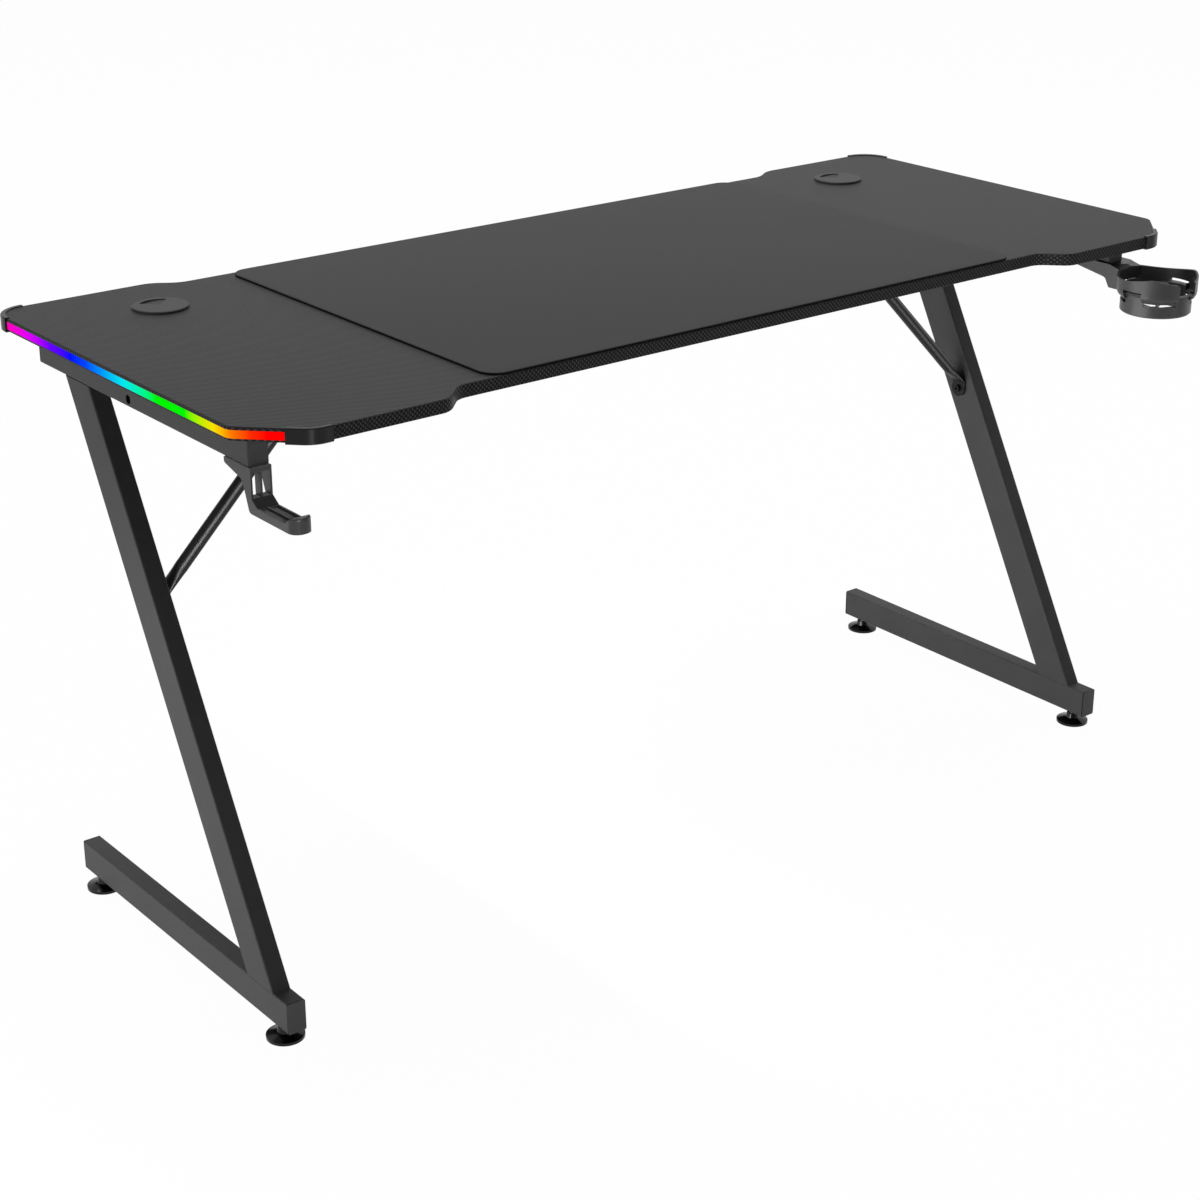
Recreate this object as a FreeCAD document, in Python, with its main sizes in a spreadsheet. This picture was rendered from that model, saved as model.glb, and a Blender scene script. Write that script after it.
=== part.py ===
import FreeCAD, Part
import math
import os
import types

import Sketcher

# Gaming desk on two Z-shaped steel legs, in millimetres.
# X runs to the right, Y to the rear, Z up from the floor.
# Inside each function X and Y are measured from the middle of the tabletop;
# every sub-part is then moved by shift_x and shift_y, so that the origin lies
# on the floor under the middle of the whole desk, cup holder included.

V = FreeCAD.Vector
ROOT2 = math.sqrt(2.0)

DRIVING = [
    # tabletop
    ("top_width", 1394, "board, side to side"),
    ("top_depth", 594, "board, front to rear"),
    ("top_thick", 15, "board thickness"),
    ("top_height", 730, "upper face of the board above the floor"),
    ("top_edge_round", 2, "rounding of the upper edge"),
    ("under_edge_bevel", 0.8, "bevel of the lower edge"),
    ("front_recess", 30, "depth of the recess in the front edge"),
    ("front_land", 255, "board's end to the recess, at its straight edge"),
    ("front_slope_run", 30, "run of the slope beside the front recess"),
    ("front_slope_radius", 26, "rounding of that slope's two bends"),
    ("rear_recess", 20, "depth of the recess in the rear edge"),
    ("rear_land", 231, "board's end to the rear recess"),
    ("rear_slope_run", 28, "run of the slope beside the rear recess"),
    ("rear_slope_radius", 40, "rounding of that slope's two bends"),
    ("front_cut", 62, "leg of the cut front corner"),
    ("cut_bend_radius", 16, "bend between side edge and cut"),
    ("cut_front_radius", 30, "bend between cut and front edge"),
    ("rear_corner_radius", 37, "rear corner of the board"),
    # corner guards
    ("guard_wall", 2.6, "guard wall outside the edge"),
    ("guard_top_lip", 1.1, "upper lip above the board"),
    ("guard_under_lip", 1.1, "lower lip below the board"),
    ("guard_overlap", 3.5, "reach of the upper lip over the board"),
    ("guard_under_reach", 9, "reach of the lower lip under the board"),
    ("guard_bevel", 0.9, "bevel along the outer edges"),
    ("guard_fit", 0.15, "gap between guard and board"),
    ("guard_cut_run", 29.2, "guard along the cut, from the bend's corner"),
    ("guard_front_run", 21, "guard along the front edge"),
    ("guard_rear_run", 37.5, "guard along the rear edge, from the corner"),
    ("guard_side_run", 39.5, "guard along the side edge, from the corner"),
    # light bars
    ("led_height", 9, "groove for the light bar"),
    ("led_rise", 2.4, "groove above the underside of the board"),
    ("led_depth", 4, "light bar, front to back"),
    ("led_fit", 0.1, "gap round the light bar"),
    ("led_end_gap", 0.6, "gap between light bar and guards"),
    ("strip_thick", 1, "circuit strip"),
    ("strip_inset", 0.5, "strip below the groove's walls"),
    ("lamp_size", 5, "lamp on the strip, square"),
    ("lamp_rise", 1.6, "lamp above the strip"),
    ("lamp_gap", 0.3, "air between lamps and light bar"),
    ("lamp_pitch", 30, "from lamp to lamp"),
    # mat
    ("mat_side_gap", 297, "board's end to the mat"),
    ("mat_front_gap", 1, "recess in the front edge to the mat"),
    ("mat_thick", 3, "mat thickness"),
    ("mat_corner", 22, "mat corner radius"),
    ("mat_rear_gap", 3, "recess in the rear edge to the mat"),
    # cable grommets
    ("grommet_inset", 160, "board's end to the grommet axis"),
    ("grommet_ahead", 105, "grommet axis ahead of the rear edge"),
    ("grommet_hole", 30, "radius of the hole in the board"),
    ("sleeve_fit", 0.15, "gap between sleeve and hole"),
    ("sleeve_wall", 2, "sleeve wall"),
    ("sleeve_below", 3, "sleeve below the board"),
    ("flange_radius", 32.5, "flange on the board"),
    ("flange_thick", 1, "flange thickness"),
    ("cap_radius", 33, "turning cap"),
    ("cap_thick", 2, "cap thickness"),
    ("cap_bevel", 0.8, "bevel of the cap's edge"),
    ("cap_gap", 0.2, "air under the cap"),
    ("cap_fit", 0.1, "running gap of the skirt in the sleeve"),
    ("cap_skirt", 4.5, "skirt below the upper face"),
    ("cap_skirt_wall", 1.6, "skirt wall"),
    ("cap_slot_radius", 25, "cable cut-out in the cap"),
    # steel legs
    ("leg_inset", 31.5, "board's end to the outer face of a leg"),
    ("tube_width", 23, "leg tubes across"),
    ("tube_wall", 1.5, "wall of the leg tubes"),
    ("tube_round", 2, "rounded long edges of the tubes"),
    ("rail_height", 40, "rail under the top"),
    ("rail_front_inset", 78, "front edge to the rail's end"),
    ("rail_rear_inset", 50, "rear edge to the rail's end"),
    ("foot_height", 38, "foot bar"),
    ("foot_clear", 18, "foot bar above the floor"),
    ("foot_front_inset", 63, "front edge to the foot's end"),
    ("foot_rear_inset", 49, "rear edge to the foot's end"),
    ("column_depth", 56, "column, level section front to rear"),
    ("column_front_step", 30, "foot's front end to the column"),
    ("column_rear_step", 62, "rail's rear end to the column"),
    ("plug_head", 2, "head of an end plug"),
    ("plug_depth", 12, "end plug inside the tube"),
    ("plug_fit", 0.15, "gap between plug and tube"),
    # levelling feet
    ("foot_inset", 27, "foot axis from the end of the bar"),
    ("pad_radius", 22, "levelling pad"),
    ("pad_rim", 3.5, "height of the pad's rim"),
    ("pad_dish", 7.5, "height of the pad beside its boss"),
    ("boss_radius", 8, "boss of the pad"),
    ("boss_gap", 3.1, "air between the boss and the insert"),
    ("stud_radius", 4, "levelling stud"),
    ("stud_seat", 5, "lower end of the stud above the floor"),
    ("stud_gap", 6.5, "air above the stud, inside the foot bar"),
    ("stud_fit", 0.05, "gap between stud and pad"),
    ("insert_fit", 0.1, "running gap of the stud in its insert"),
    ("insert_wall", 2, "insert wall"),
    ("insert_flange", 7.5, "radius of the insert's flange"),
    ("insert_flange_thick", 1.4, "insert flange"),
    ("insert_length", 13, "insert above the flange"),
    # beam and braces
    ("beam_back", 35, "beam axis behind the middle"),
    ("beam_depth", 25, "beam, front to rear"),
    ("beam_wall", 1.5, "beam wall"),
    ("plate_thick", 3, "plate welded to the beam's end"),
    ("bolt_inset", 8.7, "beam bolts from the rail's edges"),
    ("bolt_radius", 3, "bolt shank"),
    ("bolt_head_radius", 5, "bolt head"),
    ("bolt_head", 4, "height of a bolt head"),
    ("bolt_socket", 2.5, "socket in a bolt head, to its corner"),
    ("bolt_fit", 0.3, "gap round a bolt"),
    ("access_radius", 5.3, "hole that a bolt head passes"),
    ("nut_radius", 5.8, "weld nut, to its corner"),
    ("nut_thick", 5, "weld nut"),
    ("brace_radius", 8, "brace tube"),
    ("brace_wall", 1.2, "brace wall"),
    ("brace_aside", 3.9, "lower brace bolt behind the column's middle line"),
    ("brace_reach", 222.5, "leg to the upper bend of the brace"),
    ("tab_width", 24, "flattened end of the brace, across"),
    ("tab_thick", 3.6, "flattened end of the brace"),
    ("tab_hole", 11, "bolt hole from the bend"),
    ("tab_press", 34, "length over which the tube is pressed flat"),
    # screws into the board
    ("screw_front_step", 69, "rail's front end to its front screw"),
    ("screw_mid", 85, "middle screw of a rail, behind the middle"),
    ("screw_rear_step", 27, "rail's rear end to its rear screw"),
    ("screw_radius", 2, "wood screw shank"),
    ("screw_head_radius", 4.2, "wood screw head"),
    ("screw_head", 2.6, "height of a wood screw head"),
    ("screw_bite", 11, "wood screw in the board"),
    ("screw_fit", 0.1, "gap round a wood screw"),
    ("small_screw_radius", 1.3, "small screw shank"),
    ("small_head_radius", 2.6, "small screw head"),
    ("small_head", 1.4, "height of a small screw head"),
    ("small_bite", 8, "small screw in the board"),
    # headphone hook
    ("hook_width", 25, "hook, side to side"),
    ("hook_flange_run", 49, "flange behind the rail's front end"),
    ("hook_post_ahead", 3, "front of the post ahead of the rail's end"),
    ("hook_reach", 83, "tip of the arm ahead of the rail's end"),
    ("hook_drop", 48.5, "underside of the arm below the rail"),
    ("hook_flange", 6, "flange under the rail"),
    ("hook_neck_drop", 15.5, "end of the gusset below the rail"),
    ("hook_neck", 17, "post, front to rear, at the gusset"),
    ("hook_heel", 5.5, "rear of the post behind its front, at the arm"),
    ("hook_arm", 8.7, "arm thickness"),
    ("hook_lip", 16.8, "lip above the arm's underside"),
    ("hook_lip_top", 7.5, "lip, front to rear, at its top"),
    ("hook_lip_foot", 17.5, "lip, front to rear, at the arm"),
    ("hook_throat", 11, "fillet between post and arm"),
    ("hook_tip_round", 11.5, "rounding of the arm's end"),
    ("hook_side", 2.2, "side walls"),
    ("hook_rib", 2.2, "rib between the slots"),
    ("hook_web", 11, "depth of that rib, front to rear"),
    ("hook_floor", 5.4, "arm left under its pockets"),
    ("hook_slot_top", 5, "slots below the rail"),
    # cup holder
    ("cup_aside", 6, "cup axis outside the rail's middle"),
    ("cup_ahead", 66, "cup axis ahead of the rail's end"),
    ("cup_ring_radius", 52, "upper ring, outside"),
    ("cup_low_radius", 46, "lower cup, outside"),
    ("cup_wall", 2.5, "cup wall"),
    ("cup_drop", 52, "bottom of the cup below the rail"),
    ("cup_floor", 3, "cup floor"),
    ("cup_foot_bevel", 1.6, "bevel of the cup's lower edge"),
    ("cup_shoulder", 26, "lower end of the shoulder below the rail"),
    ("cup_shoulder_rise", 3.5, "height of the shoulder"),
    ("cup_flank_low", 32, "lower end of the swept flanks below the rail"),
    ("cup_flank_bend", 25.5, "first bend of the swept flanks below the rail"),
    ("cup_flank_heel", 29.5, "second bend of the swept flanks below the rail"),
    ("cup_dip", 7.2, "lowest points of the wavy rim below the rail"),
    ("cup_wave", 6.7, "height of the rim's waves"),
    ("cup_notch", 30, "width of the handle notch"),
    ("cup_notch_round", 5, "rounded mouth of the handle notch"),
    ("cup_window_rise", 3.8, "windows above the shoulder, height"),
    ("cup_slot_rise", 4.6, "slots in the lower cup, height"),
    ("cup_slot_level", 14.5, "slots above the cup's bottom"),
    ("cup_drain_inner", 7, "drain openings in the cup floor, inner radius"),
    ("cup_drain_outer", 31, "drain openings in the cup floor, outer radius"),
    ("bracket_run", 84, "bracket behind the rail's front end"),
    ("bracket_width", 42.5, "bracket, side to side"),
    ("bracket_wall", 3, "walls of the bracket"),
    ("bracket_rear", 6, "bracket's height at its rear end"),
    ("bracket_slope_end", 4, "slope's front end behind the rail's end"),
    ("bracket_slope", 18.7, "bracket's height there"),
    ("bracket_heel_ahead", 3, "bracket's lower corner ahead of the rail's end"),
    ("bracket_low", 31, "bracket's height at the cup"),
    ("accessory_screw_gap", 20, "from screw to screw in a flange"),
    ("accessory_screw_edge", 7, "rear screw from the rear end of the hook"),
    # light controller
    ("control_gap", 31.5, "leg to the controller's ear"),
    ("control_back", 97, "controller behind the front edge"),
    ("control_length", 64, "controller, side to side"),
    ("control_depth", 30, "controller, front to rear"),
    ("control_height", 14, "controller below the board"),
    ("control_wall", 1.8, "controller wall"),
    ("control_ear", 9, "fixing ear beyond the case"),
    ("control_ear_thick", 2.4, "fixing ear"),
    ("control_round", 2.5, "corners of the case"),
    ("control_fit", 0.15, "gap round the lid"),
    ("button_radius", 3.2, "mode button"),
    ("button_fit", 0.3, "gap round the button"),
    ("button_proud", 1.6, "button ahead of the case"),
    ("button_collar", 0.8, "wider collar inside the case, beyond the hole"),
    ("button_collar_thick", 1.2, "collar thickness"),
    ("button_seat", 0.2, "air between collar and case wall"),
    ("inlet_radius", 3.2, "supply inlet in the rear wall"),
]

doc = FreeCAD.newDocument("gaming_desk")
sheet = doc.addObject("Spreadsheet::Sheet", "Dims")
for row, (alias, number, meaning) in enumerate(DRIVING, start=1):
    sheet.set("A%d" % row, meaning)
    sheet.set("B%d" % row, str(number))
    sheet.setAlias("B%d" % row, alias)
doc.recompute()


class Dim:
    # A number together with the sheet expression that drives it.

    def __init__(self, value, text):
        self.value = float(value)
        self.text = text

    def __add__(self, other):
        other = dim(other)
        return Dim(self.value + other.value, "(%s + %s)" % (self.text, other.text))

    def __sub__(self, other):
        other = dim(other)
        return Dim(self.value - other.value, "(%s - %s)" % (self.text, other.text))

    def __mul__(self, other):
        other = dim(other)
        return Dim(self.value * other.value, "(%s * %s)" % (self.text, other.text))

    def __truediv__(self, other):
        other = dim(other)
        return Dim(self.value / other.value, "(%s / %s)" % (self.text, other.text))

    def __radd__(self, other):
        return dim(other) + self

    def __rsub__(self, other):
        return dim(other) - self

    def __rmul__(self, other):
        return dim(other) * self

    def __neg__(self):
        return dim(0) - self


def dim(number):
    if isinstance(number, Dim):
        return number
    return Dim(number, "(%.9f)" % number)


def root(square):
    return Dim(math.sqrt(square.value), "sqrt(%s)" % square.text)


d = types.SimpleNamespace()
for alias, number, meaning in DRIVING:
    setattr(d, alias, Dim(number, "Dims." + alias))

# Levels and lines that several sub-parts share
half_width = d.top_width / 2
half_depth = d.top_depth / 2
top_under = d.top_height - d.top_thick
rail_under = top_under - d.rail_height
foot_top = d.foot_clear + d.foot_height
led_under = top_under + d.led_rise
groove_depth = d.led_depth + d.lamp_gap + d.lamp_rise + d.strip_thick

# Places that follow the board's edges
front_recess_half = half_width - d.front_land
rear_recess_half = half_width - d.rear_land
mat_half = half_width - d.mat_side_gap
mat_front = d.front_recess + d.mat_front_gap - half_depth
mat_rear = half_depth - d.rear_recess - d.mat_rear_gap
grommet_side = half_width - d.grommet_inset
grommet_back = half_depth - d.grommet_ahead
sleeve_drop = d.top_thick + d.sleeve_below
sleeve_radius = d.grommet_hole - d.sleeve_fit
sleeve_bore = sleeve_radius - d.sleeve_wall

# Places that follow the legs
leg_half = half_width - d.leg_inset
leg_inner = leg_half - d.tube_width
leg_middle = leg_half - d.tube_width / 2
rail_front = half_depth - d.rail_front_inset
rail_rear = half_depth - d.rail_rear_inset
foot_front = half_depth - d.foot_front_inset
foot_rear = half_depth - d.foot_rear_inset
foot_axes = {"front": d.foot_inset - foot_front, "rear": foot_rear - d.foot_inset}
boss_height = d.foot_clear - d.insert_flange_thick - d.boss_gap
stud_top = foot_top - d.tube_wall - d.stud_gap
column_front = foot_front - d.column_front_step
column_back = rail_rear - d.column_rear_step - d.column_depth
column_lean = (column_back + column_front) / (rail_under - foot_top)
screw_rows = (d.screw_front_step - rail_front, d.screw_mid, rail_rear - d.screw_rear_step)
bolt_levels = (rail_under + d.bolt_inset, top_under - d.bolt_inset)

# The lower end of a brace is bolted to the leaning column, in line with the beam.
column_run = d.beam_back + column_front - d.column_depth / 2 - d.brace_aside
brace_bolt_low = foot_top + column_run / column_lean
brace_low = brace_bolt_low + d.tab_hole
brace_in = leg_inner - d.brace_reach
brace_bolt_in = brace_in - d.tab_hole

# Hook, cup holder and light controller keep to the rails
hook_rear = rail_front - d.hook_flange_run
hook_front = rail_front + d.hook_post_ahead
hook_tip = rail_front + d.hook_reach
cup_side = leg_middle + d.cup_aside
cup_front = rail_front + d.cup_ahead
cup_rear = rail_front - d.bracket_run
bracket_step = rail_front - d.bracket_slope_end
bracket_heel = rail_front + d.bracket_heel_ahead
control_side = leg_inner - d.control_gap - d.control_ear - d.control_length / 2
control_front = half_depth - d.control_back

# The origin lies under the middle of the whole desk
shift_x = (half_width + d.guard_wall - cup_side - d.cup_ring_radius) / 2
shift_y = (cup_front + d.cup_ring_radius - half_depth - d.guard_wall) / 2

sub_parts = []


def bind(item, name, size):
    item.setExpression(name, dim(size).text)


def place(item, x=0, y=0, z=0):
    bind(item, "Placement.Base.x", shift_x + x)
    bind(item, "Placement.Base.y", shift_y + y)
    bind(item, "Placement.Base.z", z)


def kept(item, label):
    item.Label = label
    sub_parts.append(item)
    return item


def body(label, x=0, y=0, z=0):
    part = doc.addObject("PartDesign::Body", label)
    part.Label = label
    place(part, x, y, z)
    return part


def sketch(part, role, offset=0):
    # XY: sketch axes X and Y. XZ: X and Z, facing the front. YZ: Y and Z, facing right.
    drawn = part.newObject("Sketcher::SketchObject", part.Name + "_sketch")
    plane = [item for item in part.Origin.OriginFeatures if item.Role == role][0]
    drawn.AttachmentSupport = [(plane, "")]
    drawn.MapMode = "FlatFace"
    bind(drawn, "AttachmentOffset.Base.z", offset)
    return drawn


def pin(drawn, edge, end, u, v):
    for kind, size in (("DistanceX", dim(u)), ("DistanceY", dim(v))):
        index = drawn.addConstraint(Sketcher.Constraint(kind, -1, 1, edge, end, size.value))
        drawn.setExpression("Constraints[%d]" % index, size.text)


def polygon(drawn, corners):
    corners = [(dim(u), dim(v)) for u, v in corners]
    first = drawn.GeometryCount
    count = len(corners)
    for index, (u, v) in enumerate(corners):
        next_u, next_v = corners[(index + 1) % count]
        line = Part.LineSegment(V(u.value, v.value, 0), V(next_u.value, next_v.value, 0))
        drawn.addGeometry(line)
    for index in range(count):
        following = first + (index + 1) % count
        drawn.addConstraint(Sketcher.Constraint("Coincident", first + index, 2, following, 1))
    for index, (u, v) in enumerate(corners):
        pin(drawn, first + index, 1, u, v)
    return drawn


def rectangle(drawn, u0, v0, u1, v1):
    return polygon(drawn, [(u0, v0), (u1, v0), (u1, v1), (u0, v1)])


def circle(drawn, u, v, radius):
    u, v, radius = dim(u), dim(v), dim(radius)
    edge = drawn.addGeometry(Part.Circle(V(u.value, v.value, 0), V(0, 0, 1), radius.value))
    pin(drawn, edge, 3, u, v)
    index = drawn.addConstraint(Sketcher.Constraint("Radius", edge, radius.value))
    drawn.setExpression("Constraints[%d]" % index, radius.text)
    return drawn


def feature(part, kind, drawn, length=None, backwards=False):
    made = part.newObject("PartDesign::" + kind, part.Name + "_" + kind.lower())
    made.Profile = drawn
    made.Reversed = backwards
    if length is not None:
        bind(made, "Length", length)
    doc.recompute()
    return made


def pad(part, drawn, length, backwards=False):
    return feature(part, "Pad", drawn, length, backwards)


def pocket(part, drawn, length, backwards=False):
    # Without backwards the cut runs against the sketch's own direction.
    before = part.Shape.Volume
    made = feature(part, "Pocket", drawn, length, backwards)
    if not part.Shape.Volume < before:
        raise ValueError("pocket cuts nothing in " + part.Label)
    return made


def turned(part, drawn, angle=360.0, kind="Revolution", midplane=False):
    made = feature(part, kind, drawn)
    made.ReferenceAxis = (drawn, ["V_Axis"])
    made.Angle = angle
    made.Midplane = midplane
    doc.recompute()
    return made


def around(part, source, copies):
    ring = part.newObject("PartDesign::PolarPattern", part.Name + "_ring")
    ring.Originals = [source]
    axis = [item for item in part.Origin.OriginFeatures if item.Role == "Z_Axis"][0]
    ring.Axis = (axis, [""])
    ring.Angle = 360.0
    ring.Occurrences = copies
    part.Tip = ring
    doc.recompute()
    return ring


def softened(part, kind, size, wanted):
    # Rounds or bevels every edge of the body so far that wanted() picks.
    base = part.Tip
    names = ["Edge%d" % (index + 1) for index, edge in enumerate(base.Shape.Edges) if wanted(edge)]
    if not names:
        raise ValueError("no edge to soften in " + part.Label)
    made = part.newObject("PartDesign::" + kind, part.Name + "_" + kind.lower())
    made.Base = (base, names)
    bind(made, "Radius" if kind == "Fillet" else "Size", size)
    doc.recompute()
    return made


def along(axis):
    # Picks straight edges that run along axis.
    def wanted(edge):
        if len(edge.Vertexes) != 2 or not isinstance(edge.Curve, Part.Line):
            return False
        run = edge.Vertexes[1].Point - edge.Vertexes[0].Point
        return abs(abs(run.normalize().dot(axis)) - 1.0) < 1e-6
    return wanted


def at(spots, axis=V(0, 0, 1)):
    # Picks straight edges along axis that pass through one of the spots.
    straight = along(axis)

    def wanted(edge):
        if not straight(edge):
            return False
        for spot in spots:
            aside = edge.Vertexes[0].Point - V(*[dim(size).value for size in spot])
            aside = aside - axis * aside.dot(axis)
            if aside.Length < 1e-3:
                return True
        return False
    return wanted


def level(height):
    # Picks edges that lie flat at a height.
    def wanted(edge):
        box = edge.BoundBox
        return abs(box.ZMin - height.value) < 1e-4 and abs(box.ZMax - height.value) < 1e-4
    return wanted


def mirrored(source, label, keep=True):
    twin = doc.addObject("Part::Mirroring", label)
    twin.Source = source
    twin.Normal = V(1, 0, 0)
    bind(twin, "Base.x", shift_x)
    twin.Label = label
    if keep:
        sub_parts.append(twin)
    return twin


def grouped(label, items):
    group = doc.addObject("Part::Compound", label)
    group.Links = items
    return kept(group, label)


# Tabletop

def board_corners():
    front = [
        (front_recess_half, d.front_recess - half_depth),
        (front_recess_half + d.front_slope_run, -half_depth),
        (half_width - d.front_cut, -half_depth),
        (half_width, d.front_cut - half_depth),
    ]
    rear = [
        (half_width, half_depth),
        (rear_recess_half + d.rear_slope_run, half_depth),
        (rear_recess_half, half_depth - d.rear_recess),
    ]
    right = front + rear
    left = [(-x, y) for x, y in reversed(right)]
    return right, right + left


def end_band(outside, inside):
    # Band along the left end and the cut corner, between two offsets from the edge.
    rear_end = half_depth - d.guard_side_run - d.led_end_gap
    front_run = d.guard_cut_run + d.led_end_gap

    def line(offset):
        bend_y = d.front_cut - half_depth - offset * (ROOT2 - 1)
        end_x = d.front_cut - half_width - (front_run + offset) / ROOT2
        end_y = (front_run - offset) / ROOT2 - half_depth
        side_x = -half_width - offset
        return [(side_x, rear_end), (side_x, bend_y), (end_x, end_y)]
    return line(dim(outside)) + list(reversed(line(dim(inside))))


def desktop_board():
    part = body("desktop_board")
    right, corners = board_corners()
    pad(part, polygon(sketch(part, "XY_Plane", top_under), corners), d.top_thick)
    bends = [
        (d.front_slope_radius, right[0:2]),
        (d.cut_front_radius, right[2:3]),
        (d.cut_bend_radius, right[3:4]),
        (d.rear_corner_radius, right[4:5]),
        (d.rear_slope_radius, right[5:7]),
    ]
    for radius, spots in bends:
        both = [(side * x, y, 0) for x, y in spots for side in (1, -1)]
        softened(part, "Fillet", radius, at(both))
    softened(part, "Fillet", d.top_edge_round, level(d.top_height))
    softened(part, "Chamfer", d.under_edge_bevel, level(top_under))

    groove = sketch(part, "XY_Plane", led_under + d.led_height)
    band = end_band(d.guard_wall, -groove_depth)
    polygon(groove, band)
    polygon(groove, [(-x, y) for x, y in reversed(band)])
    pocket(part, groove, d.led_height)

    holes = sketch(part, "XY_Plane", d.top_height)
    for side in (1, -1):
        circle(holes, side * grommet_side, grommet_back, d.grommet_hole)
    pocket(part, holes, d.top_thick)

    pilots = sketch(part, "XY_Plane", top_under)
    for side in (1, -1):
        for y in screw_rows:
            circle(pilots, side * leg_middle, y, d.screw_radius + d.screw_fit)
    pocket(part, pilots, d.screw_bite + d.screw_fit, backwards=True)

    small = sketch(part, "XY_Plane", top_under)
    for x, y in guard_screw_spots() + control_screw_spots():
        circle(small, x, y, d.small_screw_radius + d.screw_fit)
    pocket(part, small, d.small_bite + d.screw_fit, backwards=True)
    return kept(part, "desktop_board")


def desk_mat():
    part = body("desk_mat")
    outline = sketch(part, "XY_Plane", d.top_height)
    pad(part, rectangle(outline, -mat_half, mat_front, mat_half, mat_rear), d.mat_thick)
    softened(part, "Fillet", d.mat_corner, along(V(0, 0, 1)))
    return kept(part, "desk_mat")


# Corner guards: a C-section swept round the edge of the board

def guard_screw_spots():
    reach = d.guard_under_reach / 2
    front_x = half_width - d.front_cut - d.guard_front_run * 0.7
    rear_x = half_width - d.guard_rear_run * 0.88
    spots = [(front_x, reach - half_depth), (rear_x, half_depth - reach)]
    return [(side * x, y) for x, y in spots for side in (-1, 1)]


def corner_guard(label, x, y, inward, turn, radius, first_run, second_run):
    # Local origin: the sharp corner of the board's edge, at its underside.
    # The path comes along the edge from +X and turns inward by the given angle.
    part = body(label, x, y, top_under)
    tangent = radius * math.tan(math.radians(turn / 2))
    away = (-math.cos(math.radians(turn)), inward * math.sin(math.radians(turn)))
    start = (first_run, dim(0))
    bend_in = (tangent, dim(0))
    bend_out = (tangent * away[0], tangent * away[1])
    finish = (second_run * away[0], second_run * away[1])
    centre = (tangent, inward * radius)

    path = sketch(part, "XY_Plane")
    path.addGeometry(Part.LineSegment(V(start[0].value, 0, 0), V(bend_in[0].value, 0, 0)))
    middle = turn / 2 if inward < 0 else -turn / 2
    middle = math.radians(middle + (90 if inward < 0 else -90))
    on_arc = (centre[0].value + radius.value * math.cos(middle),
              centre[1].value + radius.value * math.sin(middle))
    bend = Part.Arc(V(bend_in[0].value, 0, 0), V(on_arc[0], on_arc[1], 0),
                    V(bend_out[0].value, bend_out[1].value, 0))
    path.addGeometry(bend)
    path.addGeometry(Part.LineSegment(V(bend_out[0].value, bend_out[1].value, 0),
                                      V(finish[0].value, finish[1].value, 0)))
    near_end, far_end = (1, 2) if inward < 0 else (2, 1)
    path.addConstraint(Sketcher.Constraint("Tangent", 0, 2, 1, near_end))
    path.addConstraint(Sketcher.Constraint("Tangent", 1, far_end, 2, 1))
    pin(path, 0, 1, *start)
    pin(path, 2, 2, *finish)
    pin(path, 1, 3, *centre)
    index = path.addConstraint(Sketcher.Constraint("Radius", 1, radius.value))
    path.setExpression("Constraints[%d]" % index, radius.text)

    top = d.top_thick + d.guard_top_lip
    section = sketch(part, "YZ_Plane", first_run)
    outline = [
        (d.guard_bevel - d.guard_wall, -d.guard_under_lip),
        (d.guard_under_reach, -d.guard_under_lip),
        (d.guard_under_reach, -d.guard_fit),
        (-d.guard_fit, -d.guard_fit),
        (-d.guard_fit, d.top_thick + d.guard_fit),
        (d.guard_overlap, d.top_thick + d.guard_fit),
        (d.guard_overlap, top),
        (d.guard_bevel - d.guard_wall, top),
        (-d.guard_wall, top - d.guard_bevel),
        (-d.guard_wall, d.guard_bevel - d.guard_under_lip),
    ]
    polygon(section, [(inward * u, v) for u, v in outline])
    swept = part.newObject("PartDesign::AdditivePipe", part.Name + "_sweep")
    swept.Profile = section
    swept.Spine = (path, ["Edge1", "Edge2", "Edge3"])
    doc.recompute()

    holes = sketch(part, "XY_Plane", -d.guard_under_lip)
    for spot_x, spot_y in guard_screw_spots():
        near = abs(spot_x.value - x.value) < first_run.value and abs(spot_y.value - y.value) < first_run.value
        if near:
            circle(holes, spot_x - x, spot_y - y, d.small_screw_radius + d.screw_fit)
    pocket(part, holes, d.guard_under_lip, backwards=True)
    return kept(part, label)


def corner_guards():
    cut_x = d.front_cut - half_width
    front = corner_guard("corner_guard_front_left", cut_x, -half_depth, 1, 45.0,
                         d.cut_front_radius, d.guard_front_run, d.guard_cut_run)
    rear = corner_guard("corner_guard_rear_left", -half_width, half_depth, -1, 90.0,
                        d.rear_corner_radius, d.guard_rear_run, d.guard_side_run)
    mirrored(front, "corner_guard_front_right")
    mirrored(rear, "corner_guard_rear_right")


# Light bars in the ends of the board

def led_diffuser():
    part = body("led_diffuser_left")
    height = d.led_height - 2 * d.led_fit
    band = end_band(0, -d.led_depth)
    pad(part, polygon(sketch(part, "XY_Plane", led_under + d.led_fit), band), height)
    softened(part, "Fillet", d.cut_bend_radius, at([(band[1][0], band[1][1], 0)]))
    kept(part, "led_diffuser_left")
    mirrored(part, "led_diffuser_right")


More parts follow.
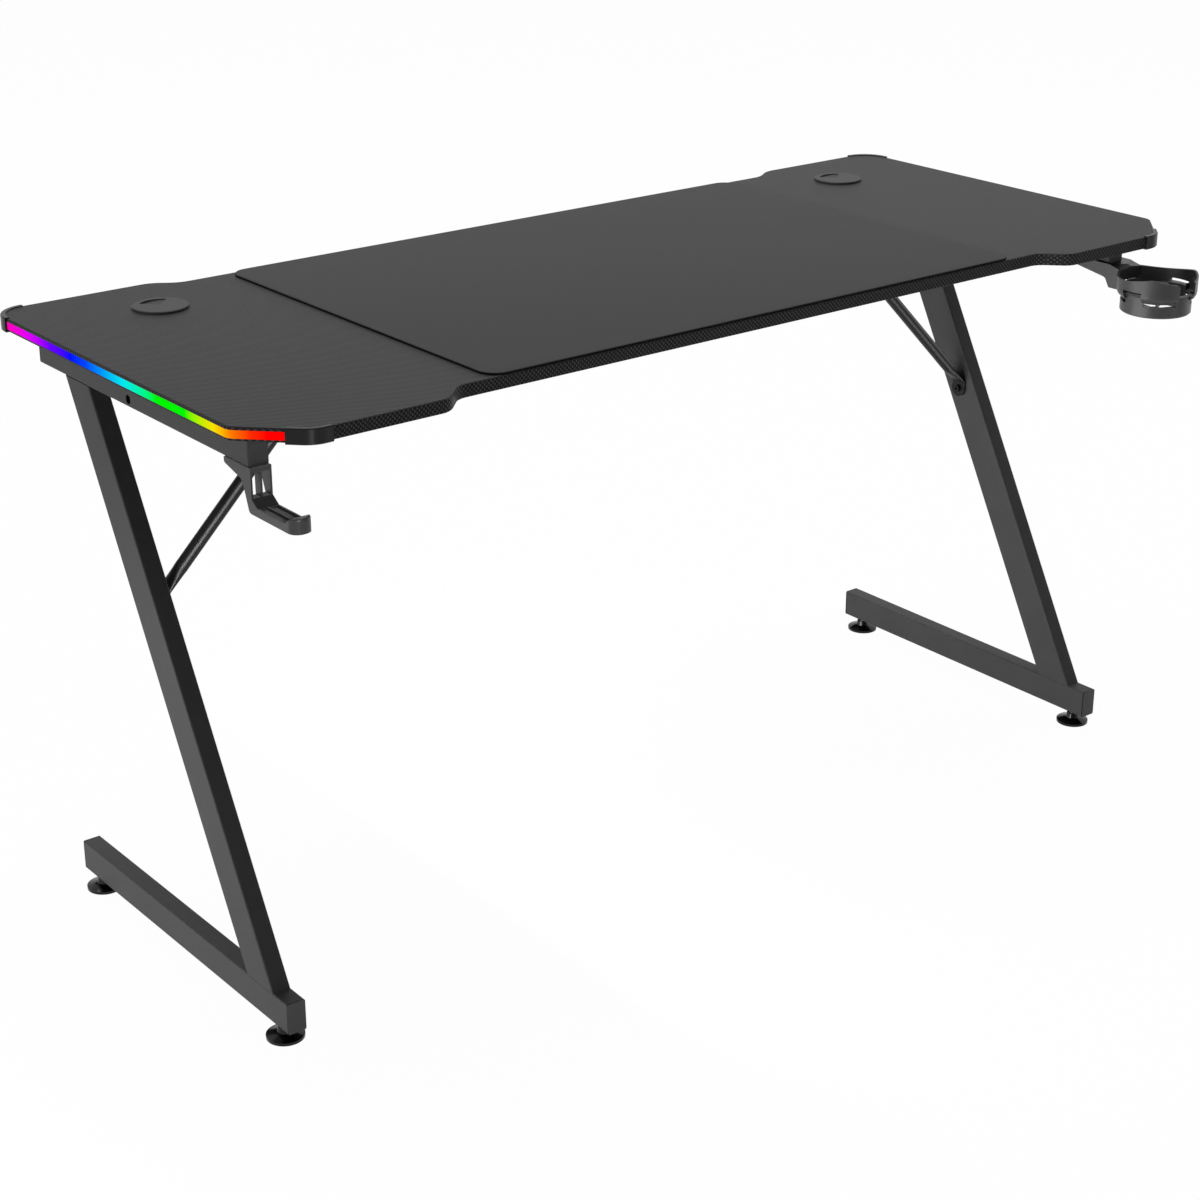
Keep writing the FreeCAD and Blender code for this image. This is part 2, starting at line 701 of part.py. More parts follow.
def led_strip():
    part = body("led_strip_left")
    front_face = groove_depth - d.strip_thick
    height = d.led_height - 2 * d.strip_inset
    band = end_band(-front_face, -groove_depth)
    pad(part, polygon(sketch(part, "XY_Plane", led_under + d.strip_inset), band), height)

    face_x = -half_width + front_face
    first = band[1][1] + d.lamp_pitch / 2
    middle = led_under + d.led_height / 2
    lamp = sketch(part, "YZ_Plane", face_x)
    rectangle(lamp, first, middle - d.lamp_size / 2, first + d.lamp_size, middle + d.lamp_size / 2)
    lamps = pad(part, lamp, d.lamp_rise, backwards=True)
    run = band[0][1] - first - d.lamp_size
    copies = int(run.value // d.lamp_pitch.value) + 1
    row = part.newObject("PartDesign::LinearPattern", "led_strip_row")
    row.Originals = [lamps]
    axis = [item for item in part.Origin.OriginFeatures if item.Role == "Y_Axis"][0]
    row.Direction = (axis, [""])
    bind(row, "Length", d.lamp_pitch * (copies - 1))
    row.Occurrences = copies
    part.Tip = row
    doc.recompute()
    kept(part, "led_strip_left")
    mirrored(part, "led_strip_right")


# Cable grommets

def grommet(side, label):
    axis_x = side * grommet_side
    liner = body("grommet_liner_" + label, axis_x, grommet_back, d.top_height)
    wall = [
        (sleeve_bore, d.flange_thick),
        (sleeve_bore, -sleeve_drop),
        (sleeve_radius, -sleeve_drop),
        (sleeve_radius, 0),
        (d.flange_radius, 0),
        (d.flange_radius, d.flange_thick),
    ]
    turned(liner, polygon(sketch(liner, "XZ_Plane"), wall))
    kept(liner, "grommet_liner_" + label)

    cap = body("grommet_cap_" + label, axis_x, grommet_back, d.top_height)
    under = d.flange_thick + d.cap_gap
    top = under + d.cap_thick
    skirt = sleeve_bore - d.cap_fit
    disc = [
        (0, under),
        (skirt - d.cap_skirt_wall, under),
        (skirt - d.cap_skirt_wall, -d.cap_skirt),
        (skirt, -d.cap_skirt),
        (skirt, under),
        (d.cap_radius, under),
        (d.cap_radius, top - d.cap_bevel),
        (d.cap_radius - d.cap_bevel, top),
        (0, top),
    ]
    turned(cap, polygon(sketch(cap, "XZ_Plane"), disc))
    slot = sketch(cap, "YZ_Plane")
    rectangle(slot, 0, under - d.cap_gap, d.cap_slot_radius, top + d.cap_gap)
    turned(cap, slot, 90.0, "Groove", midplane=True)
    kept(cap, "grommet_cap_" + label)


# Steel legs

def hollow(drawn, u0, v0, u1, v1, wall):
    rectangle(drawn, u0, v0, u1, v1)
    rectangle(drawn, u0 + wall, v0 + wall, u1 - wall, v1 - wall)
    return drawn


def top_rail():
    part = body("top_rail_left")
    length = rail_rear + rail_front - 2 * d.plug_head
    end = sketch(part, "XZ_Plane", d.plug_head - rail_rear)
    pad(part, hollow(end, -leg_half, rail_under, -leg_inner, top_under, d.tube_wall), length)
    outer = [(-leg_half, 0, z) for z in (rail_under, top_under)]
    inner = [(-leg_inner, 0, z) for z in (rail_under, top_under)]
    softened(part, "Fillet", d.tube_round, at(outer + inner, V(0, 1, 0)))

    access = sketch(part, "YZ_Plane", d.tube_wall - leg_half)
    passing = sketch(part, "YZ_Plane", -leg_inner)
    for z in bolt_levels:
        circle(access, d.beam_back, z, d.access_radius)
        circle(passing, d.beam_back, z, d.bolt_radius + d.bolt_fit)
    pocket(part, access, d.tube_wall)
    pocket(part, passing, d.tube_wall)

    entry = sketch(part, "XY_Plane", rail_under + d.tube_wall)
    upper = sketch(part, "XY_Plane", top_under)
    for y in screw_rows:
        circle(entry, -leg_middle, y, d.access_radius)
        circle(upper, -leg_middle, y, d.screw_radius + d.screw_fit)
    pocket(part, entry, d.tube_wall)
    pocket(part, upper, d.tube_wall)

    tapped = sketch(part, "XY_Plane", rail_under + d.tube_wall)
    for y in hook_screw_rows():
        circle(tapped, -leg_middle, y, d.screw_radius + d.screw_fit)
    pocket(part, tapped, d.tube_wall)
    return part


def column():
    part = body("column_left")
    wall = d.tube_wall * root(1 + column_lean * column_lean)
    front_low = -column_front
    front_high = column_back

    def slanted(inset):
        return [
            (front_low + inset, foot_top),
            (front_low + d.column_depth - inset, foot_top),
            (front_high + d.column_depth - inset, rail_under),
            (front_high + inset, rail_under),
        ]
    pad(part, polygon(sketch(part, "YZ_Plane", -leg_half), slanted(dim(0))), d.tube_width)
    run = V(0, (column_back + column_front).value, (rail_under - foot_top).value)
    softened(part, "Fillet", d.tube_round, along(run.normalize()))
    bore = polygon(sketch(part, "YZ_Plane", -leg_inner - d.tube_wall), slanted(wall))
    pocket(part, bore, d.tube_width - 2 * d.tube_wall)
    hole = sketch(part, "YZ_Plane", -leg_inner)
    circle(hole, d.beam_back, brace_bolt_low, d.bolt_radius + d.bolt_fit)
    pocket(part, hole, d.tube_wall)
    kept(part, "column_left")
    mirrored(part, "column_right")


def foot_bar():
    part = body("foot_bar_left")
    length = foot_rear + foot_front - 2 * d.plug_head
    end = sketch(part, "XZ_Plane", d.plug_head - foot_rear)
    pad(part, hollow(end, -leg_half, d.foot_clear, -leg_inner, foot_top, d.tube_wall), length)
    edges = [(x, 0, z) for x in (-leg_half, -leg_inner) for z in (d.foot_clear, foot_top)]
    softened(part, "Fillet", d.tube_round, at(edges, V(0, 1, 0)))
    seats = sketch(part, "XY_Plane", d.foot_clear + d.tube_wall)
    for y in foot_axes.values():
        circle(seats, -leg_middle, y, insert_radius() + d.plug_fit)
    pocket(part, seats, d.tube_wall)
    kept(part, "foot_bar_left")
    mirrored(part, "foot_bar_right")


def end_plug(name, y, outward, low, high):
    # Plug in a tube's open end: outward is -1 at the front and 1 at the rear.
    part = body(name)
    mouth = y - outward * d.plug_head
    head = sketch(part, "XZ_Plane", -mouth)
    pad(part, rectangle(head, -leg_half, low, -leg_inner, high), d.plug_head, backwards=outward > 0)
    softened(part, "Fillet", d.tube_round, along(V(0, 1, 0)))
    inset = d.tube_wall + d.plug_fit
    stem = sketch(part, "XZ_Plane", -mouth)
    rectangle(stem, inset - leg_half, low + inset, -leg_inner - inset, high - inset)
    pad(part, stem, d.plug_depth, backwards=outward < 0)
    return part


def end_plugs():
    for tube, front, rear, low, high in (
        ("rail", rail_front, rail_rear, rail_under, top_under),
        ("foot", foot_front, foot_rear, d.foot_clear, foot_top),
    ):
        plugs = [
            end_plug(tube + "_plug_front", -front, -1, low, high),
            end_plug(tube + "_plug_rear", rear, 1, low, high),
        ]
        left = grouped(tube + "_caps_left", plugs)
        mirrored(left, tube + "_caps_right")


# Levelling feet

def insert_radius():
    return d.stud_radius + d.insert_fit + d.insert_wall


def levelling_foot(where):
    y = foot_axes[where]
    pad_part = body("levelling_pad_%s_left" % where, -leg_middle, y)
    seat = d.stud_radius + d.stud_fit
    dish = [
        (0, 0),
        (d.pad_radius, 0),
        (d.pad_radius, d.pad_rim),
        (d.boss_radius + 1.5, d.pad_dish),
        (d.boss_radius, boss_height),
        (seat, boss_height),
        (seat, d.stud_seat),
        (0, d.stud_seat),
    ]
    turned(pad_part, polygon(sketch(pad_part, "XZ_Plane"), dish))
    kept(pad_part, "levelling_pad_%s_left" % where)
    mirrored(pad_part, "levelling_pad_%s_right" % where)

    stud = body("levelling_stud_%s_left" % where, -leg_middle, y)
    rod = [
        (0, d.stud_seat),
        (d.stud_radius, d.stud_seat),
        (d.stud_radius, stud_top - 1),
        (d.stud_radius - 1, stud_top),
        (0, stud_top),
    ]
    turned(stud, polygon(sketch(stud, "XZ_Plane"), rod))
    kept(stud, "levelling_stud_%s_left" % where)
    mirrored(stud, "levelling_stud_%s_right" % where)


def foot_insert(name, x, y):
    part = body(name, x, y, d.foot_clear)
    bore = d.stud_radius + d.insert_fit
    wall = [
        (bore, -d.insert_flange_thick),
        (d.insert_flange, -d.insert_flange_thick),
        (d.insert_flange, 0),
        (insert_radius(), 0),
        (insert_radius(), d.insert_length),
        (bore, d.insert_length),
    ]
    turned(part, polygon(sketch(part, "XZ_Plane"), wall))
    return part


def foot_inserts():
    inserts = []
    for where, y in foot_axes.items():
        for side, x in (("left", -leg_middle), ("right", leg_middle)):
            inserts.append(foot_insert("insert_%s_%s" % (where, side), x, y))
    grouped("foot_insert_nuts", inserts)


# Beam between the legs

def crossbeam():
    part = body("crossbeam")
    half = leg_inner - d.plate_thick
    front = d.beam_back - d.beam_depth / 2
    rear = d.beam_back + d.beam_depth / 2
    end = sketch(part, "YZ_Plane", -half)
    pad(part, hollow(end, front, rail_under, rear, top_under, d.beam_wall), half * 2)
    edges = [(0, y, z) for y in (front, rear) for z in (rail_under, top_under)]
    softened(part, "Fillet", d.tube_round, at(edges, V(1, 0, 0)))
    holes = sketch(part, "XY_Plane", rail_under + d.beam_wall)
    for side in (1, -1):
        circle(holes, side * brace_bolt_in, d.beam_back, d.bolt_radius + d.bolt_fit)
    pocket(part, holes, d.beam_wall)
    kept(part, "crossbeam")

    plate = body("crossbeam_plate_left")
    face = sketch(plate, "YZ_Plane", -leg_inner)
    rectangle(face, front, rail_under, rear, top_under)
    for z in bolt_levels:
        circle(face, d.beam_back, z, d.bolt_radius + d.bolt_fit)
    pad(plate, face, d.plate_thick)
    softened(plate, "Fillet", d.tube_round, at([(0, y, z) for _, y, z in edges], V(1, 0, 0)))
    kept(plate, "crossbeam_plate_left")
    mirrored(plate, "crossbeam_plate_right")


# Braces: round tubes with both ends pressed flat, bent and drilled

def flat_section(centre, across, thin):
    # Closed section of four edges: two flats joined by two half rounds.
    half = (d.tab_width.value - d.tab_thick.value) / 2
    rise = d.tab_thick.value / 2
    corner = [centre + across * (u * half) + thin * (v * rise)
              for u, v in ((1, 1), (-1, 1), (-1, -1), (1, -1))]
    round_left = centre - across * (half + rise)
    round_right = centre + across * (half + rise)
    return Part.Wire([
        Part.LineSegment(corner[0], corner[1]).toShape(),
        Part.Arc(corner[1], round_left, corner[2]).toShape(),
        Part.LineSegment(corner[2], corner[3]).toShape(),
        Part.Arc(corner[3], round_right, corner[0]).toShape(),
    ])


def round_section(centre, across, thin, radius):
    # The same four edges, on a circle.
    def on_circle(angle):
        turn = math.radians(angle)
        return centre + across * (radius * math.cos(turn)) + thin * (radius * math.sin(turn))
    edges = []
    for start, finish in ((40, 140), (140, 220), (220, 320), (320, 400)):
        middle = (start + finish) / 2
        edges.append(Part.Arc(on_circle(start), on_circle(middle), on_circle(finish)).toShape())
    return Part.Wire(edges)


def pressed_end(bend, along_tube, along_tab, across):
    # From the bend, one flat tab and one stretch that swells to the full tube.
    tube_thin = along_tube.cross(across)
    tab_thin = along_tab.cross(across)
    if tube_thin.dot(tab_thin) < 0:
        tab_thin = tab_thin * -1
    shared = tube_thin + tab_thin
    shared = shared * (1.0 / (1.0 + tube_thin.dot(tab_thin)))
    reach = d.tab_hole.value
    bent = flat_section(bend, across, shared)
    hole = bend + along_tab * reach
    flat = flat_section(hole, across, tab_thin)
    swollen = round_section(bend + along_tube * d.tab_press.value, across, tube_thin, d.brace_radius.value)
    tab = Part.makeLoft([bent, flat], True, True)
    swell = Part.makeLoft([bent, swollen], True, True)
    thick = d.tab_thick.value
    disc = Part.makeCylinder(d.tab_width.value / 2, thick, hole - tab_thin * (thick / 2), tab_thin)
    bolt = d.bolt_radius.value + d.bolt_fit.value
    drill = Part.makeCylinder(bolt, thick * 3, hole - tab_thin * (thick * 1.5), tab_thin)
    return tab.fuse([swell, disc]).cut(drill)


def brace():
    across = V(0, 1, 0)
    half_tab = d.tab_thick.value / 2
    low = V(half_tab - leg_inner.value, d.beam_back.value, brace_low.value)
    high = V(-brace_in.value, d.beam_back.value, rail_under.value - half_tab)
    up = (high - low).normalize()
    start = low + up * d.tab_press.value
    length = (high - low).Length - 2 * d.tab_press.value
    tube = Part.makeCylinder(d.brace_radius.value, length, start, up)
    lower = pressed_end(low, up, V(0, 0, -1), across)
    upper = pressed_end(high, up * -1, V(1, 0, 0), across)
    solid = tube.fuse([lower, upper])
    bore = Part.makeCylinder(d.brace_radius.value - d.brace_wall.value, length, start, up)
    part = doc.addObject("Part::Feature", "brace_left")
    part.Shape = solid.cut(bore).removeSplitter()
    place(part)
    kept(part, "brace_left")
    mirrored(part, "brace_right")


# Fasteners, each kind one group of separate solids

def bolt_shape(shank, length, head, head_height, socket):
    # Stands on the bearing face: shank along +Z, head along -Z with a six-sided socket.
    solid = Part.makeCylinder(shank, length)
    solid = solid.fuse(Part.makeCylinder(head, head_height, V(0, 0, -head_height)))
    deep = head_height * 0.6
    turns = [math.radians(60 * k) for k in range(7)]
    points = [V(socket * math.cos(a), socket * math.sin(a), -head_height) for a in turns]
    recess = Part.Face(Part.makePolygon(points)).extrude(V(0, 0, deep))
    return solid.cut(recess)


def nut_shape():
    points = [V(d.nut_radius.value * math.cos(math.radians(60 * k)),
                d.nut_radius.value * math.sin(math.radians(60 * k)), 0) for k in range(7)]
    solid = Part.Face(Part.makePolygon(points)).extrude(V(0, 0, d.nut_thick.value))
    bore = d.bolt_radius.value + d.screw_fit.value
    return solid.cut(Part.makeCylinder(bore, d.nut_thick.value))


def fastener_group(label, shape, spots):
    # Each spot is the bearing point and the direction in which the shank runs.
    solids = []
    for point, way in spots:
        copy = shape.copy()
        turn = FreeCAD.Rotation(V(0, 0, 1), V(*way))
        copy.Placement = FreeCAD.Placement(V(*[dim(size).value for size in point]), turn)
        solids.append(copy)
    group = doc.addObject("Part::Feature", label)
    group.Shape = Part.makeCompound(solids)
    place(group)
    return kept(group, label)


def both_sides(x, y, z, way):
    return [((side * x, y, z), (side * way[0], way[1], way[2])) for side in (1, -1)]


def hook_screw_rows():
    rear = -hook_rear - d.accessory_screw_edge
    return (rear - d.accessory_screw_gap, rear)


def control_screw_spots():
    reach = d.control_length / 2 + d.control_ear / 2
    return [(side * reach - control_side, -control_front) for side in (-1, 1)]


def fasteners():
    clamp = d.tube_wall + d.plate_thick + d.nut_thick
    hexed = bolt_shape(d.bolt_radius.value, clamp.value, d.bolt_head_radius.value,
                       d.bolt_head.value, d.bolt_socket.value)
    spots = []
    nuts = []
    for z in bolt_levels:
        spots += both_sides(leg_inner + d.tube_wall, d.beam_back, z, (-1, 0, 0))
        nuts += both_sides(leg_inner - d.plate_thick, d.beam_back, z, (-1, 0, 0))
    fastener_group("crossbeam_bolts", hexed, spots)

    reach = d.tab_thick + d.beam_wall + d.nut_thick
    tab_bolt = bolt_shape(d.bolt_radius.value, reach.value, d.bolt_head_radius.value,
                          d.bolt_head.value, d.bolt_socket.value)
    low = both_sides(leg_inner - d.tab_thick, d.beam_back, brace_bolt_low, (1, 0, 0))
    high = both_sides(brace_bolt_in, d.beam_back, rail_under - d.tab_thick, (0, 0, 1))
    fastener_group("brace_bolts", tab_bolt, low + high)
    nuts += both_sides(leg_inner + d.tube_wall, d.beam_back, brace_bolt_low, (1, 0, 0))
    nuts += both_sides(brace_bolt_in, d.beam_back, rail_under + d.beam_wall, (0, 0, 1))
    fastener_group("weld_nuts", nut_shape(), nuts)

    wood = bolt_shape(d.screw_radius.value, (d.tube_wall + d.screw_bite).value,
                      d.screw_head_radius.value, d.screw_head.value, d.screw_radius.value * 0.8)
    spots = []
    for y in screw_rows:
        spots += both_sides(leg_middle, y, top_under - d.tube_wall, (0, 0, 1))
    fastener_group("top_screws", wood, spots)

    small = bolt_shape(d.small_screw_radius.value, (d.guard_under_lip + d.small_bite).value,
                       d.small_head_radius.value, d.small_head.value, d.small_screw_radius.value * 0.8)
    spots = [((x, y, top_under - d.guard_under_lip), (0, 0, 1)) for x, y in guard_screw_spots()]
    fastener_group("corner_guard_screws", small, spots)

    ear = bolt_shape(d.small_screw_radius.value, (d.control_ear_thick + d.small_bite).value,
                     d.small_head_radius.value, d.small_head.value, d.small_screw_radius.value * 0.8)
    spots = [((x, y, top_under - d.control_ear_thick), (0, 0, 1)) for x, y in control_screw_spots()]
    fastener_group("led_controller_screws", ear, spots)

    flange = bolt_shape(d.screw_radius.value, (d.bracket_wall + d.tube_wall + 4).value,
                        d.screw_head_radius.value, d.screw_head.value, d.screw_radius.value * 0.8)
    spots = [((side * leg_middle, y, rail_under - d.bracket_wall), (0, 0, 1))
             for y in hook_screw_rows() for side in (-1, 1)]
    fastener_group("accessory_screws", flange, spots)


# Headphone hook

def headphone_hook():
    part = body("headphone_hook", -leg_middle, 0, rail_under)
    half = d.hook_width / 2
    arm_under = -d.hook_drop
    arm_top = d.hook_arm - d.hook_drop
    side = [
        (-hook_rear, 0),
        (-hook_rear, -d.hook_flange),
        (d.hook_neck - hook_front, -d.hook_neck_drop),
        (d.hook_heel - hook_front, arm_under),
        (-hook_tip, arm_under),
        (-hook_tip, d.hook_lip - d.hook_drop),
        (d.hook_lip_top - hook_tip, d.hook_lip - d.hook_drop),
        (d.hook_lip_foot - hook_tip, arm_top),
        (-hook_front - d.hook_throat, arm_top),
        (-hook_front, arm_top + d.hook_throat * 0.7),
        (-hook_front, 0),
    ]
    pad(part, polygon(sketch(part, "YZ_Plane", -half), side), d.hook_width)
    softened(part, "Fillet", d.hook_tip_round, at([(x, side[4][0], 0) for x in (-half, half)]))
    softened(part, "Fillet", d.hook_flange * 0.45, at([(0, side[1][0], side[1][1])], V(1, 0, 0)))
    softened(part, "Fillet", d.hook_arm * 1.3, at([(0, side[2][0], side[2][1])], V(1, 0, 0)))
    softened(part, "Fillet", d.hook_arm * 0.6, at([(0, side[3][0], side[3][1])], V(1, 0, 0)))
    softened(part, "Fillet", d.hook_lip_top * 0.42, level(d.hook_lip - d.hook_drop))

    # Two slots through the post and two pockets in the arm leave thin walls and a rib.
    inner = half - d.hook_side
    rib = d.hook_rib / 2
    slot_low = arm_top + d.hook_throat * 0.7
    through = sketch(part, "XZ_Plane", hook_front)
    pockets = sketch(part, "XY_Plane", arm_top)
    for near, far in ((rib, inner), (-inner, -rib)):
        rectangle(through, near, slot_low, far, -d.hook_slot_top)
        rectangle(pockets, near, d.hook_lip_foot - hook_tip, far, -hook_front - d.hook_throat)
    pocket(part, pockets, d.hook_arm - d.hook_floor)
    pocket(part, through, d.hook_web + 1)
    hollow_back = sketch(part, "XZ_Plane", hook_front - d.hook_web)
    rectangle(hollow_back, -inner, slot_low, inner, -d.hook_slot_top)
    pocket(part, hollow_back, hook_front - hook_rear)

    holes = sketch(part, "XY_Plane", 0)
    heads = sketch(part, "XY_Plane", -d.bracket_wall)
    for y in hook_screw_rows():
        circle(holes, 0, y, d.screw_radius + d.screw_fit)
        circle(heads, 0, y, d.screw_head_radius + d.bolt_fit)
    pocket(part, holes, d.bracket_wall)
    pocket(part, heads, d.hook_drop)
    return kept(part, "headphone_hook")


# Cup holder: a turned cup with wavy rim, on a bracket that is open underneath

def notch_mouth(edge, half_notch):
    # The short edges where the notch's sides meet the rim.
    ends = [vertex.Point for vertex in edge.Vertexes]
    if len(ends) != 2 or edge.Length > 6:
        return False
    on_side = all(abs(abs(end.x) - half_notch) < 1e-3 and end.y < 0 for end in ends)
    return on_side and min(end.z for end in ends) > -12


def cup_holder():
    part = body("cup_holder", cup_side, -cup_front, rail_under)
    half = d.bracket_width / 2
    ring_in = d.cup_ring_radius - d.cup_wall
    low_in = d.cup_low_radius - d.cup_wall
    side = [
        (cup_front - cup_rear, 0),
        (cup_front - cup_rear, -d.bracket_rear),
        (cup_front - bracket_step, -d.bracket_slope),
        (cup_front - bracket_heel, -d.bracket_low),
        (low_in, -d.bracket_low),
        (low_in, 0),
    ]
    pad(part, polygon(sketch(part, "YZ_Plane", -half), side), d.bracket_width)
    softened(part, "Fillet", d.bracket_rear * 0.4, at([(0, side[1][0], side[1][1])], V(1, 0, 0)))
    softened(part, "Fillet", d.bracket_rear, at([(0, side[2][0], side[2][1])], V(1, 0, 0)))
    channel = sketch(part, "XY_Plane", -d.bracket_wall)
    inner = half - d.bracket_wall
    rectangle(channel, -inner, low_in - 1, inner, cup_front - cup_rear - d.bracket_wall)
    pocket(part, channel, d.cup_drop)

    bottom = -d.cup_drop
    shoulder = -d.cup_shoulder
    ring_low = shoulder + d.cup_shoulder_rise
    crest = d.cup_wave - d.cup_dip
    outside = [
        (0, bottom),
        (d.cup_low_radius - d.cup_foot_bevel, bottom),
        (d.cup_low_radius, bottom + d.cup_foot_bevel),
        (d.cup_low_radius, shoulder),
        (d.cup_ring_radius, ring_low),
        (d.cup_ring_radius, crest),
        (0, crest),
    ]
    turned(part, polygon(sketch(part, "XZ_Plane"), outside))
    inside = [
        (0, bottom + d.cup_floor),
        (low_in, bottom + d.cup_floor),
        (low_in, shoulder + d.cup_wall),
        (ring_in, ring_low + d.cup_wall),
        (ring_in, crest + d.cup_wave),
        (0, crest + d.cup_wave),
    ]
    turned(part, polygon(sketch(part, "XZ_Plane"), inside), kind="Groove")

    # Between the windows the wall sweeps from the ring down to the lower cup.
    step = d.cup_ring_radius - d.cup_low_radius
    flank = sketch(part, "XZ_Plane")
    polygon(flank, [
        (low_in + d.cup_wall / 2, ring_low + d.cup_wall),
        (d.cup_ring_radius, ring_low + d.cup_wall),
        (d.cup_ring_radius - step * 0.08, -d.cup_flank_bend),
        (d.cup_ring_radius - step * 0.4, -d.cup_flank_heel),
        (d.cup_low_radius, -d.cup_flank_low),
        (low_in + d.cup_wall / 2, -d.cup_flank_low),
    ])
    flank.AttachmentOffset = FreeCAD.Placement(V(0, 0, 0), FreeCAD.Rotation(V(0, 1, 0), 45))
    around(part, turned(part, flank, 57.0, midplane=True), 4)
    lining = sketch(part, "XZ_Plane")
    polygon(lining, [
        (low_in - 1, ring_low + d.cup_wall * 2),
        (ring_in, ring_low + d.cup_wall * 2),
        (ring_in - step * 0.1, -d.cup_flank_bend),
        (low_in, -d.cup_flank_heel),
        (low_in - 1, -d.cup_flank_heel),
    ])
    lining.AttachmentOffset = FreeCAD.Placement(V(0, 0, 0), FreeCAD.Rotation(V(0, 1, 0), 45))
    around(part, turned(part, lining, 51.0, "Groove", midplane=True), 4)

    window = sketch(part, "XZ_Plane")
    rectangle(window, low_in + d.cup_wall / 2, ring_low, d.cup_ring_radius + 1, ring_low + d.cup_window_rise)
    around(part, turned(part, window, 33.0, "Groove", midplane=True), 4)

    slot_low = bottom + d.cup_slot_level
    slot = sketch(part, "XZ_Plane")
    rectangle(slot, low_in - 1, slot_low, d.cup_low_radius + 1, slot_low + d.cup_slot_rise)
    slot.AttachmentOffset = FreeCAD.Placement(V(0, 0, 0), FreeCAD.Rotation(V(0, 1, 0), 45))
    around(part, turned(part, slot, 54.0, "Groove", midplane=True), 4)

    # Six drain openings leave a hub and spokes in the floor.
    drain = sketch(part, "XZ_Plane")
    rectangle(drain, d.cup_drain_inner, bottom - 1, d.cup_drain_outer, bottom + d.cup_floor + 1)
    around(part, turned(part, drain, 46.0, "Groove", midplane=True), 6)

    # The bracket's front wall makes the inside of the ring flat at the rear.
    panel = sketch(part, "XY_Plane", ring_low + d.cup_window_rise)
    flat = root(ring_in * ring_in - half * half)
    rectangle(panel, -half, flat, half, ring_in + d.cup_wall / 2)
    pad(part, panel, crest - ring_low - d.cup_window_rise)

    # Three shallow arcs cut from above leave the wavy rim.
    chord = ring_in * math.sin(math.radians(60))
    arc = (chord * chord + d.cup_wave * d.cup_wave) / (2 * d.cup_wave)
    wave = sketch(part, "XZ_Plane")
    circle(wave, 0, arc - d.cup_dip, arc)
    around(part, pocket(part, wave, d.cup_ring_radius + 1, backwards=True), 3)

    notch = sketch(part, "XZ_Plane")
    rectangle(notch, -d.cup_notch / 2, ring_low, d.cup_notch / 2, crest + d.cup_wave)
    pocket(part, notch, d.cup_ring_radius + 1, backwards=True)
    mouth = d.cup_notch.value / 2
    softened(part, "Fillet", d.cup_notch_round, lambda edge: notch_mouth(edge, mouth))

    holes = sketch(part, "XY_Plane", 0)
    for y in hook_screw_rows():
        circle(holes, leg_middle - cup_side, y + cup_front, d.screw_radius + d.screw_fit)
    pocket(part, holes, d.bracket_wall)
    return kept(part, "cup_holder")


# Light controller under the board

def led_controller():
    x = -control_side
    y = -control_front
    case = body("led_controller_case", x, y, top_under)
    long_half = d.control_length / 2
    deep_half = d.control_depth / 2
    low = -d.control_height
    wall = d.control_wall
    block = sketch(case, "XY_Plane", low)
    pad(case, rectangle(block, -long_half, -deep_half, long_half, deep_half), d.control_height)
    softened(case, "Fillet", d.control_round, along(V(0, 0, 1)))
    ears = sketch(case, "XY_Plane", -d.control_ear_thick)
    reach = long_half + d.control_ear
    rectangle(ears, -reach, -d.control_ear, reach, d.control_ear)
    for spot_x, spot_y in control_screw_spots():
        circle(ears, spot_x - x, spot_y - y, d.small_screw_radius + d.screw_fit)
    pad(case, ears, d.control_ear_thick)
    room = sketch(case, "XY_Plane", low)
    rectangle(room, wall - long_half, wall - deep_half, long_half - wall, deep_half - wall)
    pocket(case, room, d.control_height - wall, backwards=True)
    middle = low / 2
    face = sketch(case, "XZ_Plane", deep_half)
    circle(face, 0, middle, d.button_radius + d.button_fit)
    pocket(case, face, wall)
    back = sketch(case, "XZ_Plane", wall - deep_half)
    circle(back, 0, middle, d.inlet_radius)
    pocket(case, back, wall)
    kept(case, "led_controller_case")

    lid = body("led_controller_lid", x, y, top_under)
    gap = wall + d.control_fit
    plate = sketch(lid, "XY_Plane", low)
    rectangle(plate, gap - long_half, gap - deep_half, long_half - gap, deep_half - gap)
    pad(lid, plate, wall)
    kept(lid, "led_controller_lid")

    button = body("led_mode_button", x, y, top_under + middle)
    front = -deep_half - d.button_proud
    inner = wall - deep_half + d.button_seat
    collar_end = inner + d.button_collar_thick
    cap = sketch(button, "XZ_Plane", -front)
    pad(button, circle(cap, 0, 0, d.button_radius), collar_end - front, backwards=True)
    softened(button, "Chamfer", d.button_proud / 3, lambda edge: edge.BoundBox.YMax < front.value + 1e-4)
    collar = sketch(button, "XZ_Plane", -inner)
    circle(collar, 0, 0, d.button_radius + d.button_fit + d.button_collar)
    pad(button, collar, d.button_collar_thick, backwards=True)
    kept(button, "led_mode_button")


def build():
    desktop_board()
    desk_mat()
    corner_guards()
    led_diffuser()
    led_strip()
    grommet(-1, "left")
    grommet(1, "right")
    rail = kept(top_rail(), "top_rail_left")
    mirrored(rail, "top_rail_right")
    column()
    foot_bar()
    end_plugs()
    levelling_foot("front")
    levelling_foot("rear")
    foot_inserts()
    crossbeam()
    brace()
    fasteners()
    headphone_hook()
    cup_holder()
    led_controller()
    doc.recompute()


def checked():
    for item in doc.Objects:
        if "Invalid" in item.State or "Error" in item.State:
            raise ValueError("failed: " + item.Label)
    for part in sub_parts:
        if part.Shape.isNull() or not part.Shape.isValid() or not part.Shape.Solids:
            raise ValueError("bad shape: " + part.Label)


